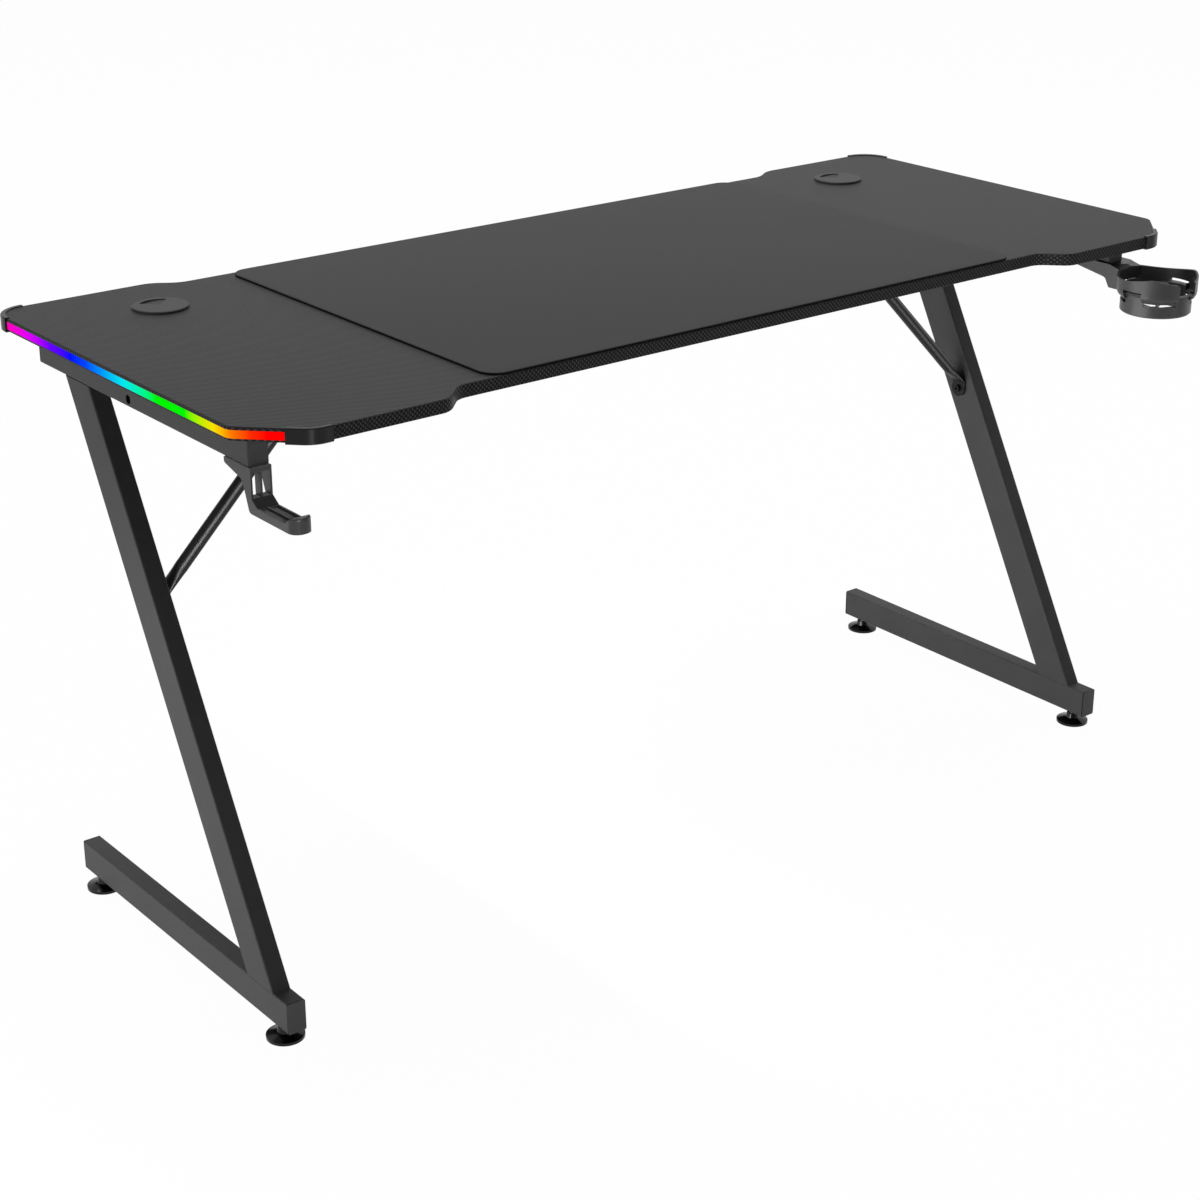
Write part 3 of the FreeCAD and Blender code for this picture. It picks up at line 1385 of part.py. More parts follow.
build()
checked()
os.makedirs("parts", exist_ok=True)
for part in sub_parts:
    part.Shape.exportStep(os.path.join("parts", part.Label + ".step"))
    box = part.Shape.BoundBox
    print("%-28s %2d solids  %8.1f cm3  %6.1f x %6.1f x %6.1f mm" % (
        part.Label, len(part.Shape.Solids), part.Shape.Volume / 1000, box.XLength, box.YLength, box.ZLength))
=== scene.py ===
import math

import bmesh
import bpy
from mathutils import Matrix, Vector


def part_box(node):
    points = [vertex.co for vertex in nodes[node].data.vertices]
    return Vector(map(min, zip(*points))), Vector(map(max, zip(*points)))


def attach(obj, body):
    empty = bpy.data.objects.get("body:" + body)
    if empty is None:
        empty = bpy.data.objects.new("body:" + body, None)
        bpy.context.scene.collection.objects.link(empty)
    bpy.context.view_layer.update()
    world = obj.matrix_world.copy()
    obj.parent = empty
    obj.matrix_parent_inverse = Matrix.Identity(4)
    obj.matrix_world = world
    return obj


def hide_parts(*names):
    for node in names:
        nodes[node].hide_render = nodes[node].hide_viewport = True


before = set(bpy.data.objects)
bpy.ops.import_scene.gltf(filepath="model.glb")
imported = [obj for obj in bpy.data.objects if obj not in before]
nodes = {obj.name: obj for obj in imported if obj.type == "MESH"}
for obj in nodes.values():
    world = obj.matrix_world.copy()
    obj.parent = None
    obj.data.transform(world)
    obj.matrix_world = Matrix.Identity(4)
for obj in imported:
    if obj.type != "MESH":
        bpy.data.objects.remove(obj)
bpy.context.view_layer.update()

scene = bpy.context.scene
scene.view_settings.view_transform = "Standard"


# small helpers for shader trees

def tone(value):
    # 0 to 255 as seen on screen, one grey or three channels, to linear colour
    channels = (value,) * 3 if isinstance(value, (int, float)) else value
    linear = []
    for channel in channels:
        part = channel / 255
        linear.append(part / 12.92 if part <= 0.04045 else ((part + 0.055) / 1.055) ** 2.4)
    return (*linear, 1.0)


def newFinish(name):
    finish = bpy.data.materials.new(name)
    finish.use_nodes = True
    return finish, finish.node_tree, finish.node_tree.nodes["Principled BSDF"]


def feed(tree, socket, value):
    # a socket gets a link, a plain value stays on the socket itself
    if isinstance(value, bpy.types.NodeSocket):
        tree.links.new(value, socket)
    else:
        socket.default_value = value


def fill(tree, node, inputs):
    for key, value in inputs.items():
        feed(tree, node.inputs[key], value)


def addNode(tree, kind, inputs=None, **settings):
    node = tree.nodes.new(kind)
    for key, value in settings.items():
        setattr(node, key, value)
    fill(tree, node, inputs or {})
    return node


def calc(tree, operation, *values):
    node = addNode(tree, "ShaderNodeMath", operation=operation)
    for socket, value in zip(node.inputs, values):
        feed(tree, socket, value)
    return node.outputs[0]


def ramp(tree, factor, low, high, start=0.0, end=1.0, blend="SMOOTHSTEP"):
    # from start at low to end at high
    node = addNode(tree, "ShaderNodeMapRange", interpolation_type=blend)
    for socket, value in zip(node.inputs, (factor, low, high, start, end)):
        feed(tree, socket, value)
    return node.outputs[0]


def mixColour(tree, factor, first, second):
    # of a mix node's sockets, 6 and 7 take colours and 2 and 3 take values
    return addNode(tree, "ShaderNodeMix", {0: factor, 6: first, 7: second}, data_type="RGBA").outputs[2]


def mixValue(tree, factor, first, second):
    return addNode(tree, "ShaderNodeMix", {0: factor, 2: first, 3: second}, data_type="FLOAT").outputs[0]


def place(tree):
    # where a point is on the desk, in metres
    return addNode(tree, "ShaderNodeTexCoord").outputs["Object"]


def facing(tree):
    return addNode(tree, "ShaderNodeNewGeometry").outputs["Normal"]


def axes(tree, vector):
    return addNode(tree, "ShaderNodeSeparateXYZ", {"Vector": vector}).outputs


def noise(tree, vector, scale, detail=2.0, roughness=0.5):
    inputs = {"Vector": vector, "Scale": scale, "Detail": detail, "Roughness": roughness}
    return addNode(tree, "ShaderNodeTexNoise", inputs).outputs["Fac"]


def bump(tree, shader, height, depth, strength):
    inputs = {"Height": height, "Distance": depth, "Strength": strength}
    node = addNode(tree, "ShaderNodeBump", inputs)
    tree.links.new(node.outputs["Normal"], shader.inputs["Normal"])


def weave(tree, along, across, pitch, repeat, over):
    # each thread goes over some threads of a repeat and under the others
    # gives which thread lies on top, and how high it stands
    u = calc(tree, "DIVIDE", along, pitch)
    v = calc(tree, "DIVIDE", across, pitch)
    diagonal = calc(tree, "ADD", calc(tree, "FLOOR", u), calc(tree, "FLOOR", v))
    above = calc(tree, "LESS_THAN", calc(tree, "FLOORED_MODULO", diagonal, repeat), over - 0.5)
    crownU = calc(tree, "SINE", calc(tree, "MULTIPLY", calc(tree, "FRACT", u), math.pi))
    crownV = calc(tree, "SINE", calc(tree, "MULTIPLY", calc(tree, "FRACT", v), math.pi))
    return above, mixValue(tree, above, crownV, crownU)


# small helpers for pieces

def named(*starts):
    return [name for name in nodes if name.startswith(starts)]


def dress(finish, *names):
    for name in names:
        for slot in nodes[name].material_slots:
            slot.material = finish


def bridge(shell, lower, upper):
    # faces between two closed rings of points
    count = len(lower)
    faces = []
    for k in range(count):
        after = (k + 1) % count
        faces.append(shell.faces.new((lower[k], lower[after], upper[after], upper[k])))
    return faces


def addPiece(name, shell, body, finishes, replaced=None):
    mesh = bpy.data.meshes.new(name)
    shell.normal_update()
    shell.to_mesh(mesh)
    shell.free()
    for finish in finishes:
        mesh.materials.append(finish)
    piece = bpy.data.objects.new(name, mesh)
    scene.collection.objects.link(piece)
    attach(piece, body)
    if replaced:
        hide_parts(replaced)
    return piece


# tabletop: carbon-look foil, coarser on the edges, plain underneath

board = {
    "topLight": 76, "topDark": 38, "topPitch": 0.0015, "topRepeat": 4.0, "topOver": 2,
    "edgeLight": 84, "edgeDark": 34, "edgePitch": 0.0027, "edgeRepeat": 2.0, "edgeOver": 1,
    "underside": 40, "turn": (0.55, 0.85),  # how far a face tips before it counts as top or underside
    "cloudScale": 9.0, "cloud": 0.12,
    "roughness": 0.45, "polish": 0.06, "gloss": 0.04, "depth": 0.00006, "texture": 0.6,
}


def boardFinish():
    finish, tree, shader = newFinish("carbonFoil")
    where = place(tree)
    x, y, z = axes(tree, where)
    nx, ny, nz = axes(tree, facing(tree))
    over, crown = weave(tree, x, y, board["topPitch"], board["topRepeat"], board["topOver"])
    shade = calc(tree, "MULTIPLY", over, calc(tree, "MULTIPLY_ADD", crown, 0.5, 0.5))
    cloud = calc(tree, "MULTIPLY", noise(tree, where, board["cloudScale"]), board["cloud"])
    topColour = mixColour(tree, shade, tone(board["topDark"]), tone(board["topLight"]))
    topColour = mixColour(tree, cloud, topColour, tone(board["topDark"]))

    # along the edge the weave follows the outline
    facesY = calc(tree, "GREATER_THAN", calc(tree, "ABSOLUTE", ny), calc(tree, "ABSOLUTE", nx))
    alongX = calc(tree, "MULTIPLY", x, calc(tree, "MULTIPLY", calc(tree, "SIGN", ny), -1.0))
    alongY = calc(tree, "MULTIPLY", y, calc(tree, "SIGN", nx))
    along = mixValue(tree, facesY, alongY, alongX)
    edgeOver, edgeCrown = weave(tree, along, z, board["edgePitch"], board["edgeRepeat"], board["edgeOver"])
    edgeShade = calc(tree, "MULTIPLY", edgeOver, edgeCrown)
    edgeColour = mixColour(tree, edgeShade, tone(board["edgeDark"]), tone(board["edgeLight"]))

    steep, flat = board["turn"]
    isTop = ramp(tree, nz, steep, flat)
    isUnder = ramp(tree, nz, -steep, -flat)
    colour = mixColour(tree, isTop, edgeColour, topColour)
    colour = mixColour(tree, isUnder, colour, tone(board["underside"]))
    rough = calc(tree, "MULTIPLY_ADD", over, -board["polish"], board["roughness"] + board["polish"] / 2)
    fill(tree, shader, {"Base Color": colour, "Roughness": rough, "Specular IOR Level": board["gloss"]})
    bump(tree, shader, mixValue(tree, isTop, edgeCrown, crown), board["depth"], board["texture"])
    return finish


dress(boardFinish(), "desktop_board")


# powder-coated steel

powder = {"darker": 5, "lighter": 4, "cloudScale": 14.0, "span": (0.3, 0.7), "depth": 0.00012}
steel = {"grey": 62, "roughness": 0.45, "vary": 0.07, "gloss": 0.13, "grain": 1100.0, "texture": 0.35}
# painted shade: the braces' grey is far darker than the frame's steel, for the shade under the board
braceSteelPaintedShade = {"grey": 11, "roughness": 0.41, "vary": 0.01, "gloss": 0.15, "grain": 400.0, "texture": 0.01}


def powderFinish(name, look):
    finish, tree, shader = newFinish(name)
    where = place(tree)
    fine = noise(tree, where, look["grain"], 2.0, 0.6)
    cloud = noise(tree, where, powder["cloudScale"], 3.0)
    dark = tone(look["grey"] - powder["darker"])
    light = tone(look["grey"] + powder["lighter"])
    smoothest = look["roughness"] - look["vary"]
    roughest = look["roughness"] + look["vary"]
    fill(tree, shader, {
        "Base Color": mixColour(tree, cloud, dark, light),
        "Roughness": ramp(tree, fine, *powder["span"], smoothest, roughest),
        "Specular IOR Level": look["gloss"],
    })
    bump(tree, shader, fine, powder["depth"], look["texture"])
    return finish


frameNodes = named("top_rail", "column", "foot_bar", "crossbeam_plate")
dress(powderFinish("powderCoat", steel), "crossbeam", *frameNodes)
# the braces' coat is darkened as painted shade
dress(powderFinish("braceCoatPaintedShade", braceSteelPaintedShade), "brace_left", "brace_right")


# moulded plastics: a look may give the sides a tone of their own against the level faces, which is painted
# light and shade by the way a face turns, and dark seams across y

moulding = {
    "vary": 3, "cloudScale": 30.0, "span": (0.3, 0.7), "smoother": 0.04, "rougher": 0.06,
    "slope": (0.3, 0.9), "seamTone": 8, "depth": 0.00008,
}


def mouldedFinish(name, look):
    finish, tree, shader = newFinish(name)
    where = place(tree)
    fine = noise(tree, where, look["grain"], 2.0, 0.55)
    cloud = noise(tree, where, moulding["cloudScale"])
    dark = tone(look["grey"] - moulding["vary"])
    light = tone(look["grey"] + moulding["vary"])
    colour = mixColour(tree, cloud, dark, light)
    # painted light and shade: sides and level faces take different tones by which way they face
    if "side" in look:
        nz = axes(tree, facing(tree))[2]
        steep, flat = look.get("slope", moulding["slope"])
        colour = mixColour(tree, ramp(tree, nz, steep, flat), tone(look["side"]), colour)
    for seam in look.get("seams", ()):
        gap = calc(tree, "ABSOLUTE", calc(tree, "SUBTRACT", axes(tree, where)[1], seam))
        inSeam = calc(tree, "LESS_THAN", gap, look["seam"])
        colour = mixColour(tree, inSeam, colour, tone(moulding["seamTone"]))
    smoothest = look["roughness"] - moulding["smoother"]
    roughest = look["roughness"] + moulding["rougher"]
    fill(tree, shader, {
        "Base Color": colour,
        "Roughness": ramp(tree, fine, *moulding["span"], smoothest, roughest),
        "Specular IOR Level": look["gloss"],
    })
    bump(tree, shader, fine, moulding["depth"], look["texture"])
    return finish


# painted shade: the guards' level faces are darker than their sides
guardLook = {"grey": 16, "side": 36, "roughness": 0.24, "gloss": 0.1, "grain": 2200.0, "texture": 0.1}
# painted light: the caps' sides are lighter than their tops
capLook = {"grey": 58, "side": 76, "roughness": 0.5, "gloss": 0.12, "grain": 1800.0, "texture": 0.3}
plugLook = {"head": 0.002, "seam": 0.0019,  # thickness of the head, half width of the seam
            "grey": 86, "roughness": 0.48, "gloss": 0.13, "grain": 1800.0, "texture": 0.3}
# painted light and shade: the hook's level faces are far lighter than its sides
hookLook = {"grey": 104, "side": 32, "slope": (0.86, 0.99),
            "roughness": 0.38, "gloss": 0.3, "grain": 1500.0, "texture": 0.2}
cupLook = {"grey": 44, "roughness": 0.38, "gloss": 0.42, "grain": 1500.0, "texture": 0.2}
footLook = {"grey": 7, "roughness": 0.14, "gloss": 0.25, "grain": 900.0, "texture": 0.04}
buttonLook = {"grey": 70, "roughness": 0.35, "gloss": 0.5, "grain": 2200.0, "texture": 0.15}

guardNodes = [name for name in named("corner_guard") if name != "corner_guard_screws"]
dress(mouldedFinish("guardPlastic", guardLook), *guardNodes)
dress(mouldedFinish("grommetPlastic", capLook), *named("grommet"))
for tube in ("rail", "foot"):
    low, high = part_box(tube + "_caps_left")
    seams = (low.y + plugLook["head"], high.y - plugLook["head"])
    plugFinish = mouldedFinish(tube + "Plug", {**plugLook, "seams": seams})
    dress(plugFinish, tube + "_caps_left", tube + "_caps_right")
dress(mouldedFinish("hookPlastic", hookLook), "headphone_hook")
dress(mouldedFinish("cupPlastic", cupLook), "cup_holder")
# the controller case takes the guards' look, painted shade on its level faces included
dress(mouldedFinish("casePlastic", guardLook), "led_controller_case", "led_controller_lid")
dress(mouldedFinish("buttonPlastic", buttonLook), "led_mode_button")
dress(mouldedFinish("footPlastic", footLook), *named("levelling_pad"))


# fasteners: plated and blackened steel, by the slot that each node comes with

fastener = {
    "stainScale": 260.0, "stainDark": 0.82, "span": (0.25, 0.75), "smoother": 0.06, "rougher": 0.1,
    "grain": 1400.0, "depth": 0.00005, "texture": 0.3,
    "zincGrey": 175, "zincRoughness": 0.34, "blackGrey": 70, "blackRoughness": 0.4,
}


def metalFinish(name, grey, roughness):
    finish, tree, shader = newFinish(name)
    where = place(tree)
    stain = noise(tree, where, fastener["stainScale"], 4.0, 0.6)
    smoothest = roughness - fastener["smoother"]
    roughest = roughness + fastener["rougher"]
    fill(tree, shader, {
        "Base Color": mixColour(tree, stain, tone(grey * fastener["stainDark"]), tone(grey)),
        "Roughness": ramp(tree, stain, *fastener["span"], smoothest, roughest),
        "Metallic": 1.0,
    })
    bump(tree, shader, noise(tree, where, fastener["grain"]), fastener["depth"], fastener["texture"])
    return finish


zincSteel = metalFinish("zincSteel", fastener["zincGrey"], fastener["zincRoughness"])
blackSteel = metalFinish("blackSteel", fastener["blackGrey"], fastener["blackRoughness"])
for name in nodes:
    slot = nodes[name].material_slots[0].material.name.split(".")[0]
    if slot == "zinc_steel":
        dress(zincSteel, name)
    elif slot == "black_steel":
        dress(blackSteel, name)
# the bolts take the braces' painted shade too
dress(powderFinish("boltCoat", braceSteelPaintedShade), "brace_bolts")  # coated like the braces


# light bars: colours run from the cut front corner to the rear corner

lightBar = {
    "stops": [
        (0.024, (255, 0, 0)), (0.046, (255, 43, 0)), (0.068, (255, 112, 0)), (0.090, (255, 175, 0)),
        (0.128, (248, 226, 0)), (0.204, (141, 247, 0)), (0.235, (0, 247, 0)), (0.350, (0, 247, 0)),
        (0.400, (0, 247, 145)), (0.480, (0, 232, 240)), (0.580, (0, 140, 250)), (0.640, (0, 70, 252)),
        (0.710, (0, 12, 252)), (0.800, (105, 0, 252)), (0.900, (225, 0, 252)), (1.000, (255, 0, 180)),
    ],
    "strength": 1.0, "body": 2, "roughness": 0.5,
}


def lightFinish():
    finish, tree, shader = newFinish("lightBar")
    low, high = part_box("led_diffuser_left")
    y = axes(tree, place(tree))[1]
    run = ramp(tree, y, low.y, high.y, blend="LINEAR")
    colours = addNode(tree, "ShaderNodeValToRGB", {"Fac": run})
    stops = colours.color_ramp.elements
    while len(stops) < len(lightBar["stops"]):
        stops.new(0.5)
    for stop, (position, colour) in zip(stops, lightBar["stops"]):
        stop.position = position
        stop.color = tone(colour)
    fill(tree, shader, {
        "Emission Color": colours.outputs["Color"], "Emission Strength": lightBar["strength"],
        "Base Color": tone(lightBar["body"]), "Roughness": lightBar["roughness"], "Specular IOR Level": 0.0,
    })
    return finish


dress(lightFinish(), "led_diffuser_left", "led_diffuser_right")


# light strips behind the bars

circuit = {"dark": 205, "light": 236, "scale": 400.0, "roughness": 0.45}


def circuitFinish():
    finish, tree, shader = newFinish("circuitStrip")
    patches = noise(tree, place(tree), circuit["scale"])
    colour = mixColour(tree, patches, tone(circuit["dark"]), tone(circuit["light"]))
    fill(tree, shader, {"Base Color": colour, "Roughness": circuit["roughness"]})
    return finish


dress(circuitFinish(), "led_strip_left", "led_strip_right")
print("finishes on the solids done")


# desk mat: cloth on a rubber back, lying on the board

mat = {
    "corner": 0.022, "cornerSteps": 10, "rim": 0.0009, "rimSteps": 4,
    "cloth": {
        "grey": 60, "darker": 12, "lighter": 10, "thread": 0.0007, "repeat": 4.0, "over": 2,
        "fuzzScale": 2600.0, "cloudScale": 6.0, "cloud": 0.15, "cloudDarker": 6,
        "roughness": 0.85, "gloss": 0.2, "sheen": 0.08, "sheenRoughness": 0.4,
        "depth": 0.00012, "texture": 0.5,
    },
    "rubber": {
        "grey": 12, "vary": 6, "cells": 1500.0,
        "roughness": 0.8, "gloss": 0.08, "depth": 0.0002, "texture": 0.6,
    },
}


def clothFinish(look):
    finish, tree, shader = newFinish("matCloth")
    where = place(tree)
    x, y = axes(tree, where)[:2]
    crown = weave(tree, x, y, look["thread"], look["repeat"], look["over"])[1]
    fuzz = noise(tree, where, look["fuzzScale"], 3.0, 0.65)
    cloud = calc(tree, "MULTIPLY", noise(tree, where, look["cloudScale"]), look["cloud"])
    shade = calc(tree, "MULTIPLY_ADD", crown, 0.5, calc(tree, "MULTIPLY", fuzz, 0.5))
    colour = mixColour(tree, shade, tone(look["grey"] - look["darker"]), tone(look["grey"] + look["lighter"]))
    colour = mixColour(tree, cloud, colour, tone(look["grey"] - look["cloudDarker"]))
    fill(tree, shader, {
        "Base Color": colour, "Roughness": look["roughness"], "Specular IOR Level": look["gloss"],
        "Sheen Weight": look["sheen"], "Sheen Roughness": look["sheenRoughness"],
    })
    bump(tree, shader, shade, look["depth"], look["texture"])
    return finish


def rubberFinish(look):
    finish, tree, shader = newFinish("matRubber")
    cells = noise(tree, place(tree), look["cells"])
    colour = mixColour(tree, cells, tone(look["grey"] - look["vary"]), tone(look["grey"] + look["vary"]))
    fill(tree, shader, {
        "Base Color": colour, "Roughness": look["roughness"], "Specular IOR Level": look["gloss"],
    })
    bump(tree, shader, cells, look["depth"], look["texture"])
    return finish


def roundedOutline(low, high, radius, steps):
    left, right = low.x + radius, high.x - radius
    front, rear = low.y + radius, high.y - radius
    corners = ((right, rear, 0), (left, rear, 90), (left, front, 180), (right, front, 270))
    points = []
    for cornerX, cornerY, start in corners:
        for step in range(steps + 1):
            angle = math.radians(start + 90 * step / steps)
            points.append((cornerX + radius * math.cos(angle), cornerY + radius * math.sin(angle)))
    return points


def deskMat():
    low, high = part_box("desk_mat")
    shell = bmesh.new()

    def ring(inset, height):
        corner = Vector((inset, inset, 0))
        outline = roundedOutline(low + corner, high - corner, mat["corner"] - inset, mat["cornerSteps"])
        return [shell.verts.new((x, y, height)) for x, y in outline]

    base = ring(0.0, low.z)
    rings = []
    for step in range(mat["rimSteps"] + 1):
        angle = math.radians(90 * step / mat["rimSteps"])
        inset = mat["rim"] * (1 - math.cos(angle))
        rings.append(ring(inset, high.z - mat["rim"] * (1 - math.sin(angle))))
    rubberFaces = bridge(shell, base, rings[0])
    clothFaces = []
    for lower, upper in zip(rings, rings[1:]):
        clothFaces += bridge(shell, lower, upper)
    clothFaces.append(shell.faces.new(rings[-1]))
    rubberFaces.append(shell.faces.new(list(reversed(base))))
    for face in clothFaces:
        face.smooth = True
    for face in rubberFaces:
        face.material_index = 1
    finishes = (clothFinish(mat["cloth"]), rubberFinish(mat["rubber"]))
    piece = addPiece("desk_mat_cloth", shell, "desk", finishes, "desk_mat")


deskMat()
print("mat laid")


# levelling studs: an M8 thread on each

stud = {
    "pitch": 0.00125, "crest": 0.004, "root": 0.00338, "tip": 0.001,
    "flank": 1.3, "rootFlat": 0.1, "steps": 20, "rowsPerTurn": 4,
}


def threadedStud(where, finish):
    low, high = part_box("levelling_stud_" + where)
    axis = (low + high) / 2
    height = high.z - low.z
    steps = stud["steps"]
    rows = int(height / stud["pitch"] * stud["rowsPerTurn"])
    shell = bmesh.new()
    rings = []
    for row in range(rows + 1):
        level = height * row / rows
        ring = []
        for step in range(steps):
            turn = step / steps
            phase = (level / stud["pitch"] - turn) % 1.0
            rise = min(1.0, max(0.0, abs(phase - 0.5) * 2 * stud["flank"] - stud["rootFlat"]))
            radius = stud["root"] + (stud["crest"] - stud["root"]) * rise
            radius = min(radius, stud["crest"] - stud["tip"] + min(level, height - level))
            angle = 2 * math.pi * turn
            x = axis.x + radius * math.cos(angle)
            y = axis.y + radius * math.sin(angle)
            ring.append(shell.verts.new((x, y, low.z + level)))
        rings.append(ring)
    for lower, upper in zip(rings, rings[1:]):
        bridge(shell, lower, upper)
    shell.faces.new(list(reversed(rings[0])))
    shell.faces.new(rings[-1])
    addPiece("stud_thread_" + where, shell, "foot_" + where, [finish],
             "levelling_stud_" + where)


for where in ("front_left", "front_right", "rear_left", "rear_right"):
    threadedStud(where, zincSteel)
print("studs threaded")


# grommets: a hinged leaf lies in each cap's cut-out

leaf = {
    "radius": 0.0247, "hub": 0.0008, "angle": 45.0, "sweep": 88.5, "thickness": 0.0007, "below": 0.0008,
    "droop": 0.045, "rings": 6, "steps": 20,
    # painted shade: the leaf's grey sits below the cap's so the recess reads darker
    "look": {"grey": 48, "roughness": 0.5, "gloss": 0.1, "grain": 1800.0, "texture": 0.2},
}


def grommetLeaf(side, finish):
    low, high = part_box("grommet_cap_" + side)
    axis = (low + high) / 2
    top = high.z - leaf["below"]
    hinge = math.radians(leaf["angle"])
    sweep = math.radians(leaf["sweep"])
    last = leaf["steps"]
    shell = bmesh.new()
    layers = []
    for drop in (0.0, leaf["thickness"]):
        layer = []
        for ring in range(leaf["rings"] + 1):
            radius = max(leaf["hub"], leaf["radius"] * ring / leaf["rings"])
            row = []
            for step in range(last + 1):
                angle = hinge + sweep * step / last
                sag = leaf["droop"] * radius * math.sin(angle - hinge)
                x = axis.x + radius * math.cos(angle)
                y = axis.y + radius * math.sin(angle)
                row.append(shell.verts.new((x, y, top - sag - drop)))
            layer.append(row)
        layers.append(layer)
    upper, lower = layers
    for ring in range(leaf["rings"]):
        inner, outer = upper[ring], upper[ring + 1]
        innerBelow, outerBelow = lower[ring], lower[ring + 1]
        for step in range(last):
            shell.faces.new((inner[step], outer[step], outer[step + 1], inner[step + 1]))
            shell.faces.new((innerBelow[step], innerBelow[step + 1], outerBelow[step + 1], outerBelow[step]))
        for step in (0, last):
            shell.faces.new((inner[step], innerBelow[step], outerBelow[step], outer[step]))
    for ring in (0, leaf["rings"]):
        above, below = upper[ring], lower[ring]
        for step in range(last):
            shell.faces.new((above[step], above[step + 1], below[step + 1], below[step]))
    bmesh.ops.recalc_face_normals(shell, faces=shell.faces)
    for face in shell.faces:
        face.smooth = True
    addPiece("grommet_leaf_" + side, shell, "cap_" + side, [finish])


leafFinish = mouldedFinish("leafPlastic", leaf["look"])
for side in ("left", "right"):
    grommetLeaf(side, leafFinish)
print("leaves hung")


# floor, light and camera

studioGround = {"grey": 242, "roughness": 0.9, "white": 0.98, "reach": 24.0, "gap": 0.0004}


def seenDirectly(tree):
    rays = addNode(tree, "ShaderNodeLightPath").outputs
    seen = calc(tree, "MAXIMUM", rays["Is Camera Ray"], rays["Is Glossy Ray"])
    return calc(tree, "MAXIMUM", seen, rays["Is Transmission Ray"])


def studioFloor():
    mesh = bpy.data.meshes.new("studioFloor")
    reach = studioGround["reach"]
    corners = [(-reach, -reach, 0), (reach, -reach, 0), (reach, reach, 0), (-reach, reach, 0)]
    mesh.from_pydata(corners, [], [(0, 1, 2, 3)])
    floor = bpy.data.objects.new("studioFloor", mesh)
    floor.location.z = -studioGround["gap"]
    scene.collection.objects.link(floor)
    finish, tree, shader = newFinish("studioFloor")
    fill(tree, shader, {
        "Base Color": tone(studioGround["grey"]), "Roughness": studioGround["roughness"],
        "Specular IOR Level": 0.0,
    })
    glow = addNode(tree, "ShaderNodeEmission").outputs[0]
    white = calc(tree, "MULTIPLY", seenDirectly(tree), studioGround["white"])
    ground = addNode(tree, "ShaderNodeMixShader", {0: white, 1: shader.outputs[0], 2: glow}).outputs[0]
    # clear from below, so the underside can be looked at
    clear = addNode(tree, "ShaderNodeBsdfTransparent").outputs[0]
    fromBelow = addNode(tree, "ShaderNodeNewGeometry").outputs["Backfacing"]
    surface = addNode(tree, "ShaderNodeMixShader", {0: fromBelow, 1: ground, 2: clear}).outputs[0]
    fill(tree, tree.nodes["Material Output"], {"Surface": surface})
    mesh.materials.append(finish)


studio = {
    "world": 0.1, "behindCamera": 0.12, "fade": (-0.35, 0.15),
    "lamps": [
        # name, place, aim, width, height, watts, and the only pieces it lights, where it is flagged
        ("lowSoftbox", (-1.16, -0.05, 0.14), (-0.66, -0.05, 0.2), 1.6, 0.2, 3.2, ()),
        ("leftSoftbox", (-30.0, -4.0, 4.2), (0.0, 0.0, 0.35), 8.0, 6.0, 1500.0, ()),
        ("fillSoftbox", (-0.35, 0.0, 0.2), (0.64, 0.0, 0.35), 1.0, 0.3, 6.5, ()),
        ("hookSoftbox", (-0.95, -1.3, 1.05), (-0.66, -0.31, 0.6), 0.3, 0.3, 18.0, ("headphone_hook",)),
        ("leftStrip", (-0.85, -1.41, 0.78), (-0.526, 0.054, 0.552), 0.6, 0.6, 66.0, ("brace_left",)),
        ("rightStrip", (0.72, -0.41, 0.08), (0.514, 0.054, 0.552), 0.3, 0.3, 3.6, ("brace_right",)),
        ("leftPanel", (-1.42, -2.05, 0.04), (-0.65, -0.28, 0.68), 0.5, 0.7, 4.5, ("headphone_hook",)),
        ("rightPanel", (1.09, -2.71, 0.04), (0.66, -0.27, 0.65), 0.6, 0.8, 4.5, ("cup_holder",)),
        ("leftGuardPanel", (-1.42, -2.05, 0.04), (-0.65, -0.28, 0.72), 0.5, 0.7, 10.0, guardNodes),
        ("rightGuardPanel", (1.09, -2.71, 0.04), (0.66, -0.27, 0.72), 0.6, 0.8, 16.0, guardNodes),
        ("rightSoftbox", (4.5, -0.8, 0.9), (0.7, -0.2, 0.5), 0.8, 1.6, 30.0, ()),
        ("topSoftbox", (0.8, 1.2, 6.0), (0.0, 0.0, 0.4), 5.0, 4.0, 280.0, ()),
    ],
}


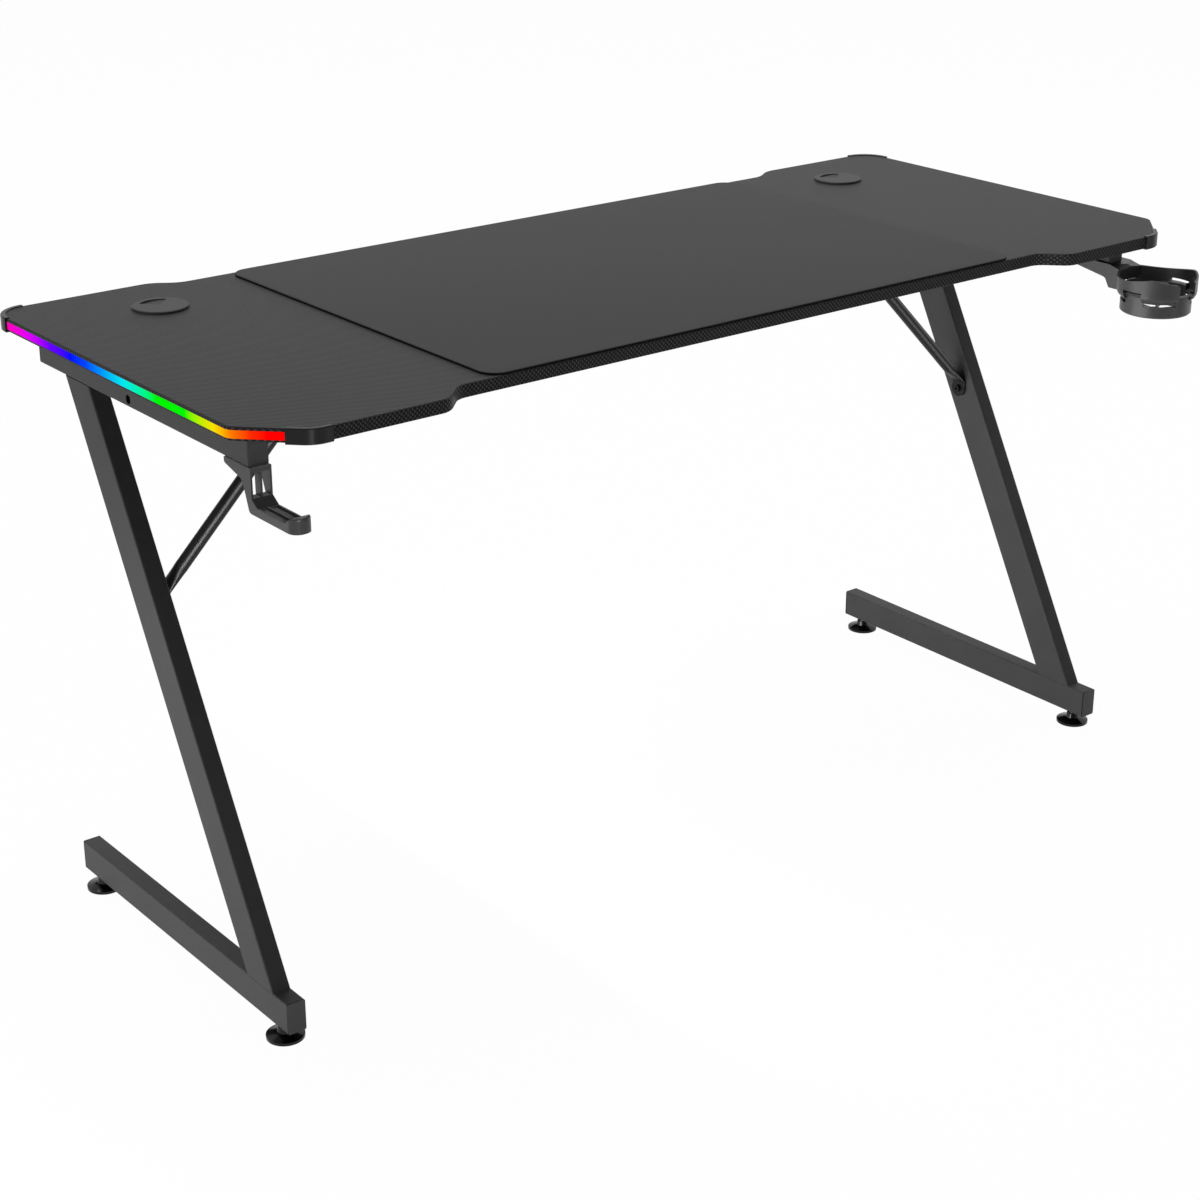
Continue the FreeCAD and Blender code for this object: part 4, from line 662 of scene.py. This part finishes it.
def studioWorld():
    world = bpy.data.worlds.new("studio")
    scene.world = world
    world.use_nodes = True
    tree = world.node_tree
    background = tree.nodes["Background"]
    # white where the camera looks, dark behind it
    y = axes(tree, addNode(tree, "ShaderNodeTexCoord").outputs["Generated"])[1]
    rays = addNode(tree, "ShaderNodeLightPath").outputs
    backdrop = ramp(tree, y, *studio["fade"], studio["behindCamera"], 1.0)
    white = calc(tree, "MAXIMUM", backdrop, rays["Is Camera Ray"])
    strength = mixValue(tree, seenDirectly(tree), studio["world"], white)
    fill(tree, background, {"Color": (1, 1, 1, 1), "Strength": strength})


def studioLamp(name, spot, aim, width, height, watts, only):
    lamp = bpy.data.lights.new(name, "AREA")
    lamp.shape = "RECTANGLE"
    lamp.size = width
    lamp.size_y = height
    lamp.energy = watts
    holder = bpy.data.objects.new(name, lamp)
    holder.location = spot
    holder.rotation_euler = (Vector(aim) - Vector(spot)).to_track_quat("-Z", "Y").to_euler()
    holder.visible_camera = False
    scene.collection.objects.link(holder)
    if only:
        lit = bpy.data.collections.new(name)
        for node in only:
            lit.objects.link(nodes[node])
        holder.light_linking.receiver_collection = lit


photoCamera = {
    "place": (-1.79014, -2.180382, 1.467625), "azimuth": -38.4186, "elevation": 21.5653,
    "sensor": 36.0, "lens": 71.2312, "shiftX": -0.001963, "shiftY": -0.036036, "clipEnd": 100.0,
}


def studioCamera():
    camera = bpy.data.cameras.new("photoCamera")
    camera.sensor_width = photoCamera["sensor"]
    camera.lens = photoCamera["lens"]
    camera.shift_x = photoCamera["shiftX"]
    camera.shift_y = photoCamera["shiftY"]
    camera.clip_end = photoCamera["clipEnd"]
    azimuth = math.radians(photoCamera["azimuth"])
    elevation = math.radians(photoCamera["elevation"])
    level = math.cos(elevation)
    back = Vector((math.sin(azimuth) * level, -math.cos(azimuth) * level, math.sin(elevation)))
    right = (-back).cross(Vector((0, 0, 1))).normalized()
    up = right.cross(-back)
    turn = Matrix((right, up, back)).transposed().to_4x4()
    holder = bpy.data.objects.new("photoCamera", camera)
    holder.matrix_world = Matrix.Translation(photoCamera["place"]) @ turn
    scene.collection.objects.link(holder)
    scene.camera = holder


studioFloor()
studioWorld()
for row in studio["lamps"]:
    studioLamp(*row)
studioCamera()
print("floor, light and camera set")
